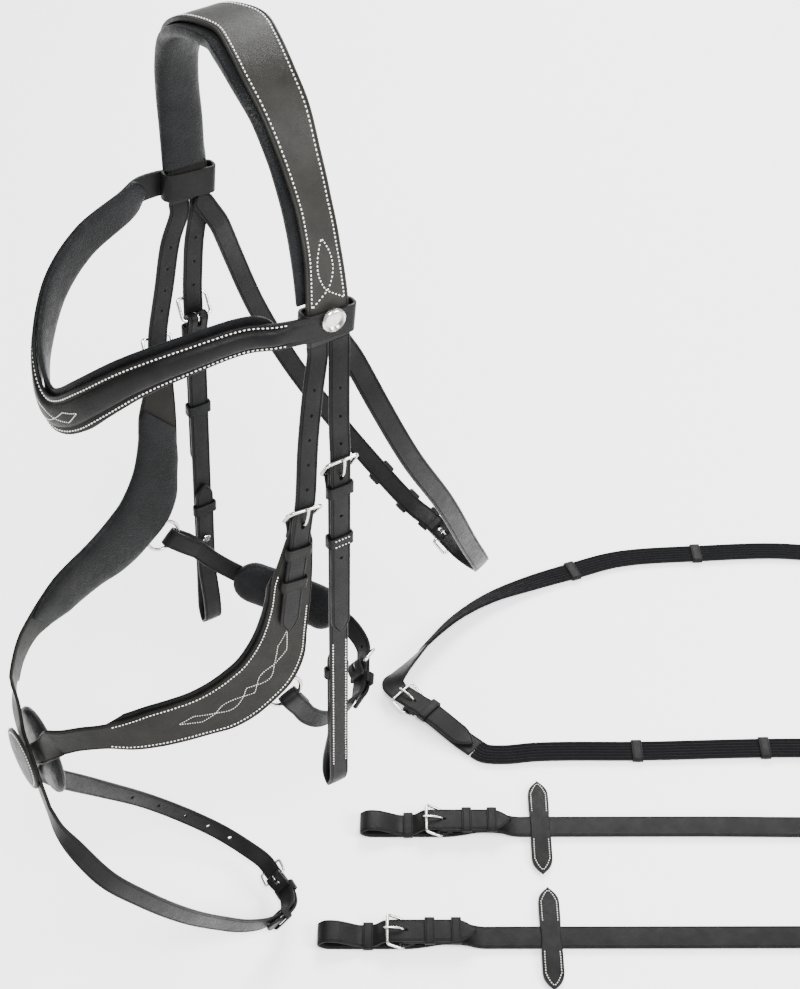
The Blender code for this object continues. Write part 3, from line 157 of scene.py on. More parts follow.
class Path:
    """Centres and width directions; the face normal is tangent x width."""

    def __init__(self, centres, across):
        centres = np.asarray(centres, float)
        fresh = np.concatenate([[True], np.linalg.norm(np.diff(centres, axis=0), axis=1) > 1e-6])
        self.c = centres[fresh]
        gaps = np.linalg.norm(np.diff(self.c, axis=0), axis=1)
        self.s = np.concatenate([[0.0], np.cumsum(gaps)])
        self.length = self.s[-1]
        tangent = np.gradient(self.c, self.s, axis=0)
        self.t = tangent / np.linalg.norm(tangent, axis=1)[:, None]
        w = np.asarray(across, float)[fresh]
        w = w - np.sum(w * self.t, axis=1)[:, None] * self.t
        self.w = w / np.linalg.norm(w, axis=1)[:, None]
        self.n = np.cross(self.t, self.w)

    def at(self, s):
        """Centre, tangent, width direction and normal at arc length s."""
        centre = read_at(s, self.s, self.c)
        t = unit(read_at(s, self.s, self.t))
        w = read_at(s, self.s, self.w)
        w = unit(w - np.dot(w, t) * t)
        return centre, t, w, np.cross(t, w)

    def offset(self, distance):
        """The same path moved along its normal."""
        return Path(self.c + distance * self.n, self.w)

    def part(self, start, end, steps=24):
        """The stretch between two arc lengths; end before start turns it round."""
        rows = [self.at(s) for s in np.linspace(start, end, steps)]
        return Path([r[0] for r in rows], [r[2] for r in rows])

    def thinned(self, sag=0.04 * MM, turn=math.radians(8), gap=6 * MM):
        """Arc lengths to keep, so that no chord strays from the curve by more than sag."""
        keep = [0]
        for i in range(1, len(self.s)):
            last = keep[-1]
            swing = max(angle(self.t[last], self.t[i]), angle(self.n[last], self.n[i]))
            reach = self.s[i] - self.s[last]
            if swing > turn or swing * reach / 8 > sag or reach > gap:
                keep.append(max(i - 1, last + 1))
        if keep[-1] != len(self.s) - 1:
            keep.append(len(self.s) - 1)
        return [self.s[i] for i in keep]


def inner_run(path, start, end, distance, aside, count=120):
    """A layer inside the stretch of a path, moved aside along its width."""
    inner = path.part(start, end, count).offset(-distance)
    return Path(inner.c + aside * inner.w, inner.w)


def angle(a, b):
    return math.acos(max(-1.0, min(1.0, float(np.dot(a, b)))))


def route(points, across, steps=STEPS):
    """A path through points, with one width direction or one for each point."""
    across = np.asarray(across, float)
    if across.ndim == 1:
        across = np.tile(across, (len(points), 1))
    rows = spline(np.hstack([np.asarray(points), across]), steps)
    return Path(rows[:, :3], rows[:, 3:])


def joined(*paths):
    """Several paths end to end."""
    return Path(np.vstack([p.c for p in paths]), np.vstack([p.w for p in paths]))


# Finishes: each is worked out from the piece's own coordinates, in metres.

class Finish:
    """A shader with small helpers for its texture nodes."""

    def __init__(self, name, colour, roughness, metallic=0.0):
        self.mat = bpy.data.materials.new(name)
        self.mat.use_nodes = True
        self.mat.diffuse_color = (*colour, 1.0)
        self.tree = self.mat.node_tree
        self.shader = self.tree.nodes["Principled BSDF"]
        self.surface({"Base Color": (*colour, 1.0), "Roughness": roughness, "Metallic": metallic})
        self.place = self.tree.nodes.new("ShaderNodeTexCoord").outputs["Object"]

    def fill(self, node, inputs):
        """Give inputs their values, or link them where the value is another node's output."""
        for name, value in inputs.items():
            if isinstance(value, bpy.types.NodeSocket):
                self.tree.links.new(value, node.inputs[name])
            else:
                node.inputs[name].default_value = value

    def surface(self, inputs):
        self.fill(self.shader, inputs)

    def node(self, kind, out, inputs, **settings):
        """One output of a new node."""
        node = self.tree.nodes.new("ShaderNode" + kind)
        for name, value in settings.items():
            setattr(node, name, value)
        self.fill(node, inputs)
        return node.outputs[out]

    def noise(self, size, detail=3.0, rough=0.5):
        """Cloudy noise whose features are about size metres across."""
        inputs = {"Scale": 1.0 / size, "Detail": detail, "Roughness": rough, "Vector": self.place}
        return self.node("TexNoise", "Fac", inputs)

    def cells(self, size, random=1.0):
        """Distance in a cell pattern whose cells are about size metres across."""
        inputs = {"Scale": 1.0 / size, "Randomness": random, "Vector": self.place}
        return self.node("TexVoronoi", "Distance", inputs)

    def span(self, fac, low, high, out_low=0.0, out_high=1.0):
        """A value's range from low to high, spread over another range."""
        inputs = {"Value": fac, "From Min": low, "From Max": high, "To Min": out_low, "To Max": out_high}
        return self.node("MapRange", "Result", inputs)

    def blend(self, fac, low, high):
        inputs = {"Factor": fac, "A": (*low, 1.0), "B": (*high, 1.0)}
        return self.node("Mix", "Result", inputs, data_type="RGBA")

    def bump(self, height, depth):
        """Relief of the given depth in metres."""
        relief = self.node("Bump", "Normal", {"Height": height, "Distance": depth, "Strength": 1.0})
        self.surface({"Normal": relief})


def leather(name, dark, light, grain, depth, rough_low, rough_high):
    """Dyed leather: fine grain cells, soft creases, cloudy dye and uneven wax."""
    finish = Finish(name, dark, rough_high)
    dye = finish.blend(finish.span(finish.noise(0.018, 4.0, 0.6), 0.35, 0.7), dark, light)
    wax = finish.span(finish.noise(0.006, 4.0, 0.6), 0.3, 0.7, rough_low, rough_high)
    pores = finish.span(finish.cells(grain), 0.0, 0.6, 1.0, 0.0)
    creases = finish.noise(grain * 3.5, 5.0, 0.62)
    finish.bump(finish.node("Math", 0, {0: pores, 1: creases}, operation="ADD"), depth)
    finish.surface({"Base Color": dye, "Roughness": wax, "Specular IOR Level": 0.07})
    return finish.mat


def web_finish(name):
    """Ribbed web: a tight weave with a dull, faintly fuzzy surface, painted darker in the hollows between the
    raised yarns as shade.
    """
    finish = Finish(name, (0.010, 0.010, 0.011), 0.85)
    weave = finish.cells(0.0011, 0.35)
    # Painted shade: the colour goes from the yarn's tone on each raised cell to near black where the bump
    # sinks between cells.
    yarn_and_hollow_shade = finish.blend(finish.span(weave, 0.1, 0.6), (0.0065, 0.0065, 0.0075), (0.002, 0.002, 0.0025))
    finish.bump(finish.span(weave, 0.0, 0.7, 1.0, 0.0), 0.00035)
    finish.surface({"Base Color": yarn_and_hollow_shade, "Specular IOR Level": 0.05, "Sheen Weight": 0.04,
                    "Sheen Roughness": 0.5})
    return finish.mat


def nickel_finish(name):
    """Bright nickel plate with faint rubbing marks."""
    finish = Finish(name, (0.60, 0.585, 0.555), 0.2, 1.0)
    mark = finish.noise(0.003, 5.0, 0.65)
    plate = finish.blend(finish.span(mark, 0.35, 0.65), (0.62, 0.605, 0.575), (0.50, 0.485, 0.455))
    finish.bump(finish.noise(0.0012), 0.00002)
    finish.surface({"Base Color": plate, "Roughness": finish.span(mark, 0.3, 0.7, 0.12, 0.28)})
    return finish.mat


def thread_finish(name, low, high):
    """Waxed sewing thread."""
    finish = Finish(name, high, 0.6)
    finish.bump(finish.noise(0.0004, 2.0), 0.00008)
    finish.surface({"Base Color": finish.blend(finish.span(finish.noise(0.0015), 0.35, 0.65), low, high)})
    return finish.mat


FINISH = {
    "leather": leather("black_leather", (0.0034, 0.0035, 0.0036), (0.0068, 0.0067, 0.0067),
                       0.00045, 0.00008, 0.30, 0.44),
    "face": leather("face_leather", (0.0045, 0.0044, 0.0037), (0.0082, 0.0080, 0.0067),
                    0.00042, 0.00006, 0.32, 0.46),
    # Painted light: the crown's leather is the same black leather made lighter, for the light it catches from
    # above where it faces up.
    "crown": leather("crown_leather", (0.0130, 0.0128, 0.0118), (0.0190, 0.0187, 0.0172),
                     0.00042, 0.00006, 0.30, 0.44),
    "soft": leather("pebbled_leather", (0.0035, 0.0037, 0.0040), (0.0068, 0.0071, 0.0076),
                    0.0011, 0.00022, 0.34, 0.5),
    "web": web_finish("ribbed_web"),
    "steel": nickel_finish("nickel"),
    "thread": thread_finish("pale_thread", (0.58, 0.56, 0.50), (0.84, 0.82, 0.77)),
}


# Pieces: every piece stands for the CAD node it is named for, and rides on that node's body.

BODY_OF = {node: body for body, nodes in frame["record"]["behaviour"]["bodies"].items() for node in nodes}


def new_object(name, data):
    """A new object in the scene, with its mesh, lamp or camera."""
    obj = bpy.data.objects.new(name, data)
    bpy.context.scene.collection.objects.link(obj)
    return obj


def raw_object(name, bodies, side=LEFT):
    """One mesh object in world coordinates from a list of (points, faces) bodies."""
    bm = bmesh.new()
    for points, faces in bodies:
        corners = [bm.verts.new(tuple(p)) for p in sided(points, side)]
        for face in faces:
            bm.faces.new([corners[i] for i in face])
    bmesh.ops.recalc_face_normals(bm, faces=bm.faces)
    data = bpy.data.meshes.new(name)
    bm.to_mesh(data)
    bm.free()
    return new_object(name, data)


def settle(obj, body, kind, nodes=(), sharp=38):
    """Finish a piece: smooth faces, its material, its body and the nodes it stands for."""
    obj.data.shade_smooth()
    obj.data.set_sharp_from_angle(angle=math.radians(sharp))
    obj.data.materials.clear()
    obj.data.materials.append(FINISH[kind])
    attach(obj, body)
    if nodes:
        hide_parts(*nodes)
    return obj


def bend(obj, body, start, end):
    """Take a strap that is sewn to the headpiece at its start off its body; it keeps its place in the world.
    """
    world = obj.matrix_world.copy()
    obj.parent = None
    obj.matrix_world = world
    del obj["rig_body"]
    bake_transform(obj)


def look(node, bodies, kind, side=LEFT, sharp=38):
    """A piece that stands for one CAD node."""
    return settle(raw_object(node + "_look", bodies, side), BODY_OF[node], kind, [node], sharp)


def applied(obj, bodies, operation, side):
    """Apply a boolean with the given bodies, and leave no cutter behind."""
    tool = raw_object("tool", bodies, side)
    mod = obj.modifiers.new("shape", "BOOLEAN")
    mod.operation = operation
    mod.solver = "MANIFOLD"
    mod.object = tool
    bpy.context.view_layer.update()
    data = bpy.data.meshes.new_from_object(obj.evaluated_get(bpy.context.evaluated_depsgraph_get()))
    obj.modifiers.clear()
    obj.data = data
    data.shade_smooth()
    data.set_sharp_from_angle(angle=math.radians(38))
    bpy.data.objects.remove(tool)


def cut(obj, bodies, side=LEFT):
    applied(obj, bodies, "DIFFERENCE", side)


def fuse(obj, bodies, side=LEFT):
    for body in bodies:
        applied(obj, [body], "UNION", side)


# Sections and lofts.

def eased(a, b, e):
    """The rounded left and right corners of a section's upper face, both read from left to right."""
    left, right = [], []
    for step in range(4):
        turn = math.radians(30 * step)
        left.append((-a + e - e * math.cos(turn), b - e + e * math.sin(turn)))
        right.append((a - e + e * math.cos(turn), b - e + e * math.sin(turn)))
    return left, right[::-1]


def flat_section(width, thick, groove=1.5 * MM, depth=0.4 * MM):
    """A strap's section: rounded edges and a creased line near each edge of both faces."""
    a, b = width / 2, thick / 2
    e = min(0.75 * MM, thick / 2.3, a / 2.5)
    left, right = eased(a, b, e)
    g = min(groove, 0.5 * a)
    h = min(0.42 * MM, 0.1 * a)
    inner = a - g - h
    face = [(-a + g - h, b), (-a + g, b - depth), (-inner, b)]
    face += [(inner * x, b + 0.12 * MM * (1 - x * x)) for x in (-0.75, -0.4, 0.0, 0.4, 0.75)]
    face += [(inner, b), (a - g, b - depth), (a - g + h, b)]
    front = left + face + right
    return front + [(x, -y) for x, y in front[::-1]]


def pad_section(width, thick):
    """A padded section: flat on its leather side, softly crowned on the other."""
    a = width / 2
    rows = [(-0.93 * a, 0.0), (-0.5 * a, 0.0), (0.5 * a, 0.0), (0.93 * a, 0.0), (0.985 * a, -0.06 * thick)]
    for step in range(17):
        turn = math.pi * step / 16
        x, y = math.cos(turn), math.sin(turn)
        rows.append((a * math.copysign(abs(x) ** 0.62, x), -thick * (0.22 + 0.78 * y ** 0.8)))
    rows.append((-0.985 * a, -0.06 * thick))
    return rows


def ribbed_section(width, thick):
    """A web grip's section, with rounded ribs along its upper face."""
    a, b = width / 2, thick / 2
    rows = [(-a, -b + 0.3 * MM), (-a, b - 0.7 * MM)]
    for step in range(37):
        x = -1 + step / 18
        rows.append((0.965 * a * x, b - 0.75 * MM + 0.75 * MM * abs(math.sin(math.pi * 3 * (x + 1))) ** 0.6))
    return rows + [(a, b - 0.7 * MM), (a, -b + 0.3 * MM), (a - 0.4 * MM, -b), (-a + 0.4 * MM, -b)]


def raised_section(width, thick):
    """A browband's section: stitched flat edges and a round middle as high as thick says."""
    a, b, rise = width / 2, STRAP_THICK / 2, thick - STRAP_THICK
    left, right = eased(a, b, 0.7 * MM)
    rows = []
    for step in range(13):
        x = -1 + step / 6
        swell = (1 - x * x) ** 0.5
        rows.append((0.6 * a * x, b + rise * swell ** 0.9 - (0.1 * rise if abs(x) > 0.95 else 0.0)))
    low_left, low_right = [[(x, -y) for x, y in corner][::-1] for corner in (left, right)]
    back = [(a - 1.2 * MM, -b), (-a + 1.2 * MM, -b)]
    return left + [(-0.68 * a, b)] + rows + [(0.68 * a, b)] + right + low_right + back + low_left


def loft(rings, closed=False):
    """A skin through equal rings of points; open ends are capped."""
    count, size = len(rings), len(rings[0])
    points = [p for ring in rings for p in ring]
    faces = []
    for i in range(count if closed else count - 1):
        j = (i + 1) % count
        for k in range(size):
            m = (k + 1) % size
            faces.append([i * size + m, i * size + k, j * size + k, j * size + m])
    if not closed:
        faces.append(list(range(size)))
        faces.append([(count - 1) * size + k for k in range(size)][::-1])
    return points, faces


def end_share(distance, width, shape):
    """Share of the full width at a distance from a strap's end."""
    if shape == "round":
        rest = max(0.0, 1.0 - distance / (width / 2))
        return max(0.12, math.sqrt(max(0.0, 1.0 - rest * rest)))
    if shape == "point":
        rest = max(0.0, 1.0 - distance / (width * 0.8))
        return 1.0 - 0.9 * rest ** 1.9
    return 1.0


END_STEPS = {"round": (0.03, 0.08, 0.15, 0.24, 0.34, 0.5), "point": (0.06, 0.14, 0.25, 0.4, 0.6, 0.8, 0.95),
             "square": (0.03,)}


def strap_body(path, width, thick, start="square", end="square", section=flat_section):
    """A strap along a path; width and thick are sizes or functions of arc length."""
    span = path.length
    wide = width if callable(width) else (lambda s: width)
    deep = thick if callable(thick) else (lambda s: thick)
    stops = set(path.thinned())
    stops.update(share * wide(0.0) for share in END_STEPS[start])
    stops.update(span - share * wide(span) for share in END_STEPS[end])
    stops = sorted(stops)
    least = 0.3 * MM
    clean = [stops[0]]
    for s in stops[1:-1]:
        if s - clean[-1] > least and stops[-1] - s > least:
            clean.append(s)
    clean.append(stops[-1])
    rings = []
    for s in clean:
        centre, _, w, n = path.at(s)
        share = end_share(s, wide(s), start) * end_share(span - s, wide(s), end)
        rings.append([centre + a * w + b * n for a, b in section(wide(s) * share, deep(s))])
    return loft(rings)


def strap(name, path, width=STRAP_WIDTH, thick=STRAP_THICK, kind="leather", side=LEFT, **shape):
    return look(name, [strap_body(path, width, thick, **shape)], kind, side)


def by_table(rows):
    """A size that changes along a strap, from (arc length, size) rows."""
    lengths = [r[0] for r in rows]
    sizes = [r[1] for r in rows]
    return lambda s: float(np.interp(s, lengths, sizes))


def by_points(path, sizes):
    """A size given at each of the points that a route goes through."""
    return by_table([(path.s[STEPS * i], size) for i, size in enumerate(sizes)])


# Local frames: u runs along the strap, n points away from the horse, w is across.

class Seat:
    """A place on a strap with its three directions."""

    def __init__(self, origin, u, n):
        self.p = np.asarray(origin, float)
        self.u = unit(u)
        n = np.asarray(n, float)
        self.n = unit(n - np.dot(n, self.u) * self.u)
        self.w = np.cross(self.u, self.n)

    def point(self, u, n, w=0.0):
        return self.p + u * self.u + n * self.n + w * self.w

    def moved(self, u):
        return Seat(self.point(u, 0.0), self.u, self.n)


def nearest(path, point):
    """Arc length of a path's point nearest to the given point."""
    return float(path.s[np.argmin(np.linalg.norm(path.c - point, axis=1))])


def seat_on(path, s, outward=1):
    centre, t, _, n = path.at(s)
    return Seat(centre, t, outward * n)


def path_in(seat, rows):
    """A path through (u, n) rows in a seat's plane, with one width direction."""
    return route([seat.point(u, n) for u, n in rows], seat.w)


def arc(a, b, radius, first, last, step):
    """Points of an arc about (a, b), from one angle in degrees to another."""
    turns = [math.radians(degrees) for degrees in range(first, last, step)]
    return [(a + radius * math.cos(turn), b + radius * math.sin(turn)) for turn in turns]


def rounded(half_a, half_b, corner, radius):
    """Points round a rectangle: an arc of the given radius about the centre of each corner."""
    points = []
    for first, sign_a, sign_b in ((0, 1, 1), (90, -1, 1), (180, -1, -1), (270, 1, -1)):
        a, b = sign_a * (half_a - corner), sign_b * (half_b - corner)
        points += arc(a, b, radius, first, first + 91, 15)
    return points


def disc(centre, first, second, radius, steps, turn=0.0):
    """Points of a circle in the plane of two directions."""
    angles = [2 * math.pi * (k + turn) / steps for k in range(steps)]
    return [centre + radius * (math.cos(a) * first + math.sin(a) * second) for a in angles]


def sideways(axis):
    """Two directions at right angles to an axis and to each other."""
    first = unit(np.cross(axis, (0.3, 0.2, 0.9)))
    return first, np.cross(unit(axis), first)


def band_body(seat, half_width, low, high, height, wall, corner=1.2 * MM):
    """A leather loop round a strap: inner half width and inner faces low and high."""
    half, e, line, dip = height / 2, min(0.35 * MM, wall / 3), 1.3 * MM, 0.25 * MM
    outer = [(half - e, wall), (half - line + dip, wall), (half - line, wall - 0.2 * MM),
             (half - line - dip, wall)]
    profile = [(-half + e, 0.0), (-half, e), (-half, wall - e)] + [(-u, grow) for u, grow in outer]
    profile += outer[::-1] + [(half, wall - e), (half, e), (half - e, 0.0)]
    middle, reach = (low + high) / 2, (high - low) / 2
    rings = [[seat.point(u, middle + n, w) for w, n in rounded(half_width, reach, corner, corner + grow)]
             for u, grow in profile]
    return loft(rings, closed=True)


def keeper_body(seat, back, front, width=STRAP_WIDTH):
    """A keeper whose back wall is sewn in at back and whose front wall clears front."""
    half, low = width / 2 + 2.5 * CLEAR, back + KEEPER_WALL / 2
    corner = min(1.2 * MM, (front - back) / 2 + 0.4 * MM, (front + CLEAR - low) / 2.2)
    return band_body(seat, half, low, front + CLEAR, KEEPER_HEIGHT, KEEPER_WALL, corner)


def hole_body(centre, axis, across, radius=HOLE_RADIUS, stretch=0.0, depth=8 * MM, sides=16):
    """A round hole's cutter, or a slot's when stretch moves its two ends apart."""
    axis = unit(axis)
    across = unit(np.asarray(across) - np.dot(across, axis) * axis)
    along = np.cross(axis, across)
    rings = []
    for h in (-depth / 2, depth / 2):
        ring = disc(centre + h * axis, across, along, radius, sides, 0.5)
        rings.append([p + stretch * (0.5 if k < sides / 2 else -0.5) * along for k, p in enumerate(ring)])
    return loft(rings)


def box_body(seat, u, n, w):
    """A block between (low, high) pairs along a seat's three directions."""
    corners = ((u[0], n[0]), (u[1], n[0]), (u[1], n[1]), (u[0], n[1]))
    return loft([[seat.point(*corner, side) for corner in corners] for side in w])


def hole_on(path, s, radius=HOLE_RADIUS):
    """A punched hole's cutter at an arc length of a strap."""
    centre, _, w, n = path.at(s)
    return hole_body(centre, n, w, radius)


def hole_at(seat, u):
    """A punched hole's cutter at a distance from a buckle's seat."""
    return hole_body(seat.point(u, 0), seat.n, seat.w, depth=5 * MM)


def torus_body(centre, axis, radius, tube, steps=72, sides=16):
    """A ring of round wire."""
    spokes = disc(np.zeros(3), *sideways(axis), 1.0, steps)
    rings = [disc(centre + radius * spoke, spoke, unit(axis), tube, sides, 0.5) for spoke in spokes]
    return loft(rings, closed=True)


def tube_body(points, radius, closed, sides=14):
    """Bent round wire through the points, with rounded ends where it is open."""
    rows = np.asarray(points, float)
    ahead = np.roll(rows, -1, axis=0) - np.roll(rows, 1, axis=0) if closed else np.gradient(rows, axis=0)
    first = unit(np.cross(ahead[0], (0.31, 0.22, 0.9)))
    dome = [(-0.95, 0.25), (-0.8, 0.6), (-0.45, 0.9), (0.0, 1.0)]
    rings = []
    for index, (centre, step) in enumerate(zip(rows, ahead)):
        t = unit(step)
        first = unit(first - np.dot(first, t) * t)
        sizes = [(0.0, 1.0)]
        if not closed and index == 0:
            sizes = dome
        if not closed and index == len(rows) - 1:
            sizes = [(-shift, share) for shift, share in dome[::-1]]
        for shift, share in sizes:
            rings.append(disc(centre + shift * radius * t, first, np.cross(t, first), share * radius, sides))
    return loft(rings, closed)


def wire(name, points, radius, closed, side=LEFT):
    return look(name, [tube_body(points, radius, closed)], "steel", side, 60)


def spindle(tip, rings, tail):
    """A closed body from one point, through equal rings, to another point."""
    steps = len(rings[0])
    points = [tip] + [p for ring in rings for p in ring] + [tail]
    last = len(points) - 1
    faces = []
    for k in range(steps):
        m = (k + 1) % steps
        faces.append([0, 1 + m, 1 + k])
        faces += [[i + k, i + m, i + steps + m, i + steps + k] for i in range(1, last - steps, steps)]
        faces.append([last, last - steps + k, last - steps + m])
    return points, faces


def turned(name, profile, centre, axis, kind="steel", side=LEFT, steps=40):
    """A turned piece: (radius, height) rows from the middle of the top to the middle of the back."""
    axis, centre = unit(axis), np.asarray(centre)
    spokes = sideways(axis)
    rings = [disc(centre + h * axis, *spokes, r, steps) for r, h in profile[1:-1]]
    body = spindle(centre + profile[0][1] * axis, rings, centre + profile[-1][1] * axis)
    return look(name, [body], kind, side)


# Stitches: short raised lengths of thread laid in rows on a face.

PITCH = 2.5 * MM
STITCH_LENGTH = 1.5 * MM
THREAD_RADIUS = 0.42 * MM
STITCH_LIFT = 0.05 * MM
ROW_REACH = 0.4 * MM
STITCH_ROWS = ((-0.85, 0.6, -0.25), (-0.5, 0.95, 0.1), (0.0, 1.0, 0.2), (0.5, 0.95, 0.1), (0.85, 0.6, -0.25))


def stitch_body(centre, along, out, size):
    """One stitch: a rounded length of thread sunk by half at its two ends."""
    side = np.cross(out, along)
    half, thick = size * STITCH_LENGTH / 2, size * THREAD_RADIUS
    rings = [disc(centre + u * half * along + lift * thick * out, side, out, share * thick, 6)
             for u, share, lift in STITCH_ROWS]
    sunk = centre - 0.5 * thick * out
    return spindle(sunk - half * along, rings, sunk + half * along)


def sew(name, body, rows, side=LEFT, size=1.0):
    """Rows of stitches in one piece; each row is a list of (point, outward direction) pairs.

    A stitch lies along its row, as the row runs ROW_REACH before and after it.
    """
    points, faces = [], []
    for row in rows:
        spots = np.array([p for p, _ in row])
        outs = np.array([o for _, o in row])
        gaps = np.concatenate([[0.0], np.cumsum(np.linalg.norm(np.diff(spots, axis=0), axis=1))])
        count = max(1, int(gaps[-1] / (size * PITCH)))
        for k in range(count):
            s = (k + 0.5) * gaps[-1] / count
            centre, out = read_at(s, gaps, spots), read_at(s, gaps, outs)
            along = unit(read_at(s + ROW_REACH, gaps, spots) - read_at(s - ROW_REACH, gaps, spots))
            out = unit(out - np.dot(out, along) * along)
            body_points, body_faces = stitch_body(centre, along, out, size)
            first = len(points)
            points += sided(body_points, side)
            faces += [[first + i for i in (face[::-1] if side == RIGHT else face)] for face in body_faces]
    data = bpy.data.meshes.new(name)
    data.from_pydata([tuple(p) for p in points], [], faces)
    settle(new_object(name, data), body, "thread", (), 180)


def edge_rows(path, start, end, edge, height, step=3 * MM):
    """Rows of places along both edges of a strap's face, as far from its middle as edge says."""
    rows = []
    for side in (1, -1):
        row = []
        for s in np.linspace(start, end, max(3, int(abs(end - start) / step))):
            centre, _, w, n = path.at(s)
            row.append((centre + side * edge(s) * w + height * n, n))
        rows.append(row)
    return rows


def woven_rows(place, marks, half):
    """Two rows that cross at every mark: pointed diamonds and round lenses between them.

    place takes a distance along and a distance across, marks are (start, end, shape).
    """
    rows = []
    for side in (1, -1):
        row = []
        for start, end, shape in marks:
            for step in range(9):
                share = step / 8
                swell = math.sin(math.pi * share) if shape == "lens" else 1 - abs(2 * share - 1)
                row.append(place(start + share * (end - start), side * half * swell))
            side = -side
        rows.append(row)
    return rows


# Buckles: the billet lies at n = 0, the chape's upper layer under it and its folded end under that.

LAYER = STRAP_THICK + CLEAR
BAR_U = BUCKLE_REACH / 2
CHAPE_N = -(STRAP_THICK + CLEAR)
BACK_N = CHAPE_N - STRAP_THICK - 0.4 * MM
BAR_N = CHAPE_N - STRAP_THICK / 2 - CLEAR - WIRE_RADIUS
END_N = STRAP_THICK / 2 + CLEAR + WIRE_RADIUS
FOLD_RADIUS = WIRE_RADIUS + CLEAR + STRAP_THICK / 2
TONGUE_EYE = WIRE_RADIUS + CLEAR + TONGUE_RADIUS
CHAPE_START = BAR_U + 6 * MM
SLOT_HALF = TONGUE_RADIUS + 0.55 * MM
KEEPER_SLACK = 1.4 * MM
KEEPER_FACE = LAYER + STRAP_THICK / 2 + KEEPER_SLACK


def buckle(name, seat, width, side):
    """The bent frame, tilted so that its end bar stands over the billet."""
    along = np.array([2 * BAR_U, BAR_N - END_N])
    reach = np.linalg.norm(along)
    along = along / reach
    middle_n = (BAR_N + END_N) / 2
    corner = 2.2 * MM
    points = [seat.point(v * along[0], middle_n + v * along[1], w)
              for w, v in rounded(width / 2 - WIRE_RADIUS, reach / 2, corner, corner)]
    return wire(name, points, WIRE_RADIUS, True, side)


def tongue(name, seat, side):
    """The tongue: wire wrapped round the heel bar, up through the billet's hole."""
    top = END_N + WIRE_RADIUS + CLEAR + TONGUE_RADIUS
    rows = arc(BAR_U, BAR_N, TONGUE_EYE, -150, 31, 15)
    rows += [(BAR_U + 0.9 * MM, STRAP_THICK * 0.2), (BAR_U - 1.2 * MM, STRAP_THICK / 2 + 1.9 * MM),
             (-BAR_U + 3 * MM, top), (-BAR_U - 2.2 * MM, top)]
    return wire(name, spline([seat.point(u, n) for u, n in rows], 4), TONGUE_RADIUS, False, side)


def tongue_hole(seat):
    """The slot in the billet that the tongue stands in and swings through."""
    travel = abs(BAR_N) * math.tan(TONGUE_LIFT)
    length = 2 * TONGUE_RADIUS + travel + 2.0 * MM
    middle = BAR_U + 0.5 * MM + travel / 2
    radius = TONGUE_RADIUS + 0.45 * MM
    return hole_body(seat.point(middle, 0), seat.n, seat.w, radius, length - 2 * radius, 5 * MM)


def chape_slot(seat):
    """The slot cut through the fold for the tongue's eye."""
    u = (BAR_U - FOLD_RADIUS - 3 * MM, BAR_U + TONGUE_EYE + 3.4 * MM)
    n = (BAR_N - FOLD_RADIUS - 3 * MM, CHAPE_N + STRAP_THICK + 0.2 * MM)
    return box_body(seat, u, n, (-SLOT_HALF, SLOT_HALF))


def chape_rows(tail):
    """(u, n) rows of a strap's end folded round the heel bar, tail first."""
    rows = [(BAR_U + tail, BACK_N), (BAR_U + 0.6 * tail, BACK_N),
            (BAR_U + 4.6 * MM, BAR_N - FOLD_RADIUS + 1.0 * MM)]
    return rows + arc(BAR_U, BAR_N, FOLD_RADIUS, -90, -271, -30) + [(CHAPE_START, CHAPE_N)]


def leaving(seat, ahead=6 * MM):
    """The first two points of a strap's base, straight on from its fold round the heel bar."""
    return [seat.point(CHAPE_START + u, CHAPE_N) for u in (0, ahead)]


def over_path(lead, seat, base, reach, lead_across=None, sink=0.0, rise=0.7 * MM):
    """A billet: its lead points, straight through the buckle, then on top of the base strap."""
    across = [seat.w] * len(lead) if lead_across is None else list(lead_across)
    points = list(lead) + [seat.point(-BUCKLE_REACH, -sink), seat.point(0, 0), seat.point(CHAPE_START, 0)]
    start = 5 * MM
    lift = LAYER + rise * np.minimum(1.0, base.s / start)
    over = Path(base.c - lift[:, None] * base.n, base.w)
    first, last = np.interp((start, reach), base.s, over.s)
    return joined(route(points, across + [seat.w] * 3), over.part(first, last, 90))


def keeper_on(path, s, width=STRAP_WIDTH):
    """A keeper sewn into a buckle's strap, with the billet running through it."""
    return keeper_body(seat_on(path, s, -1), 0.0, KEEPER_FACE, width)


def buckled_strap(name, seat, base, tail, keepers, width=STRAP_WIDTH, end="square"):
    """A strap that starts with the fold round a buckle's bar and has keepers sewn into its base."""
    path = joined(path_in(seat, chape_rows(tail)), base)
    piece = strap(name, path, width, end=end)
    fuse(piece, [keeper_on(base, s, width) for s in keepers])
    cut(piece, [chape_slot(seat)])
    return piece


def billet(name, path, seat, holes, side=LEFT, width=STRAP_WIDTH, start="square"):
    """A pointed strap that runs through a buckle, with the slot for its tongue and the other holes."""
    piece = strap(name, path, width, side=side, start=start, end="point")
    cut(piece, holes + [tongue_hole(seat)], side)
    return piece


def loose_keeper(name, seat, low, high, side=LEFT):
    """A leather band round the layers between low and high, free to slide."""
    body = band_body(seat, STRAP_WIDTH / 2 + 2 * CLEAR, low - CLEAR, high + CLEAR, KEEPER_HEIGHT, KEEPER_WALL)
    return look(name, [body], "leather", side)


def buckle_set(prefix, seat, side=LEFT, width=BUCKLE_WIDTH):
    """A buckle and its tongue on one seat, on the given side."""
    buckle(prefix + "_buckle", seat, width, side)
    tongue(prefix + "_tongue", seat, side)


def keeper_rows(seat, height):
    """The two short rows of stitches on a keeper's front wall."""
    reach, inset = 5.6 * MM, 2.4 * MM
    return [[(seat.point(u, height, w), seat.n) for w in np.linspace(-reach, reach, 5)]
            for u in (-inset, inset)]


# The crown, its padding, and the browband with its loops.

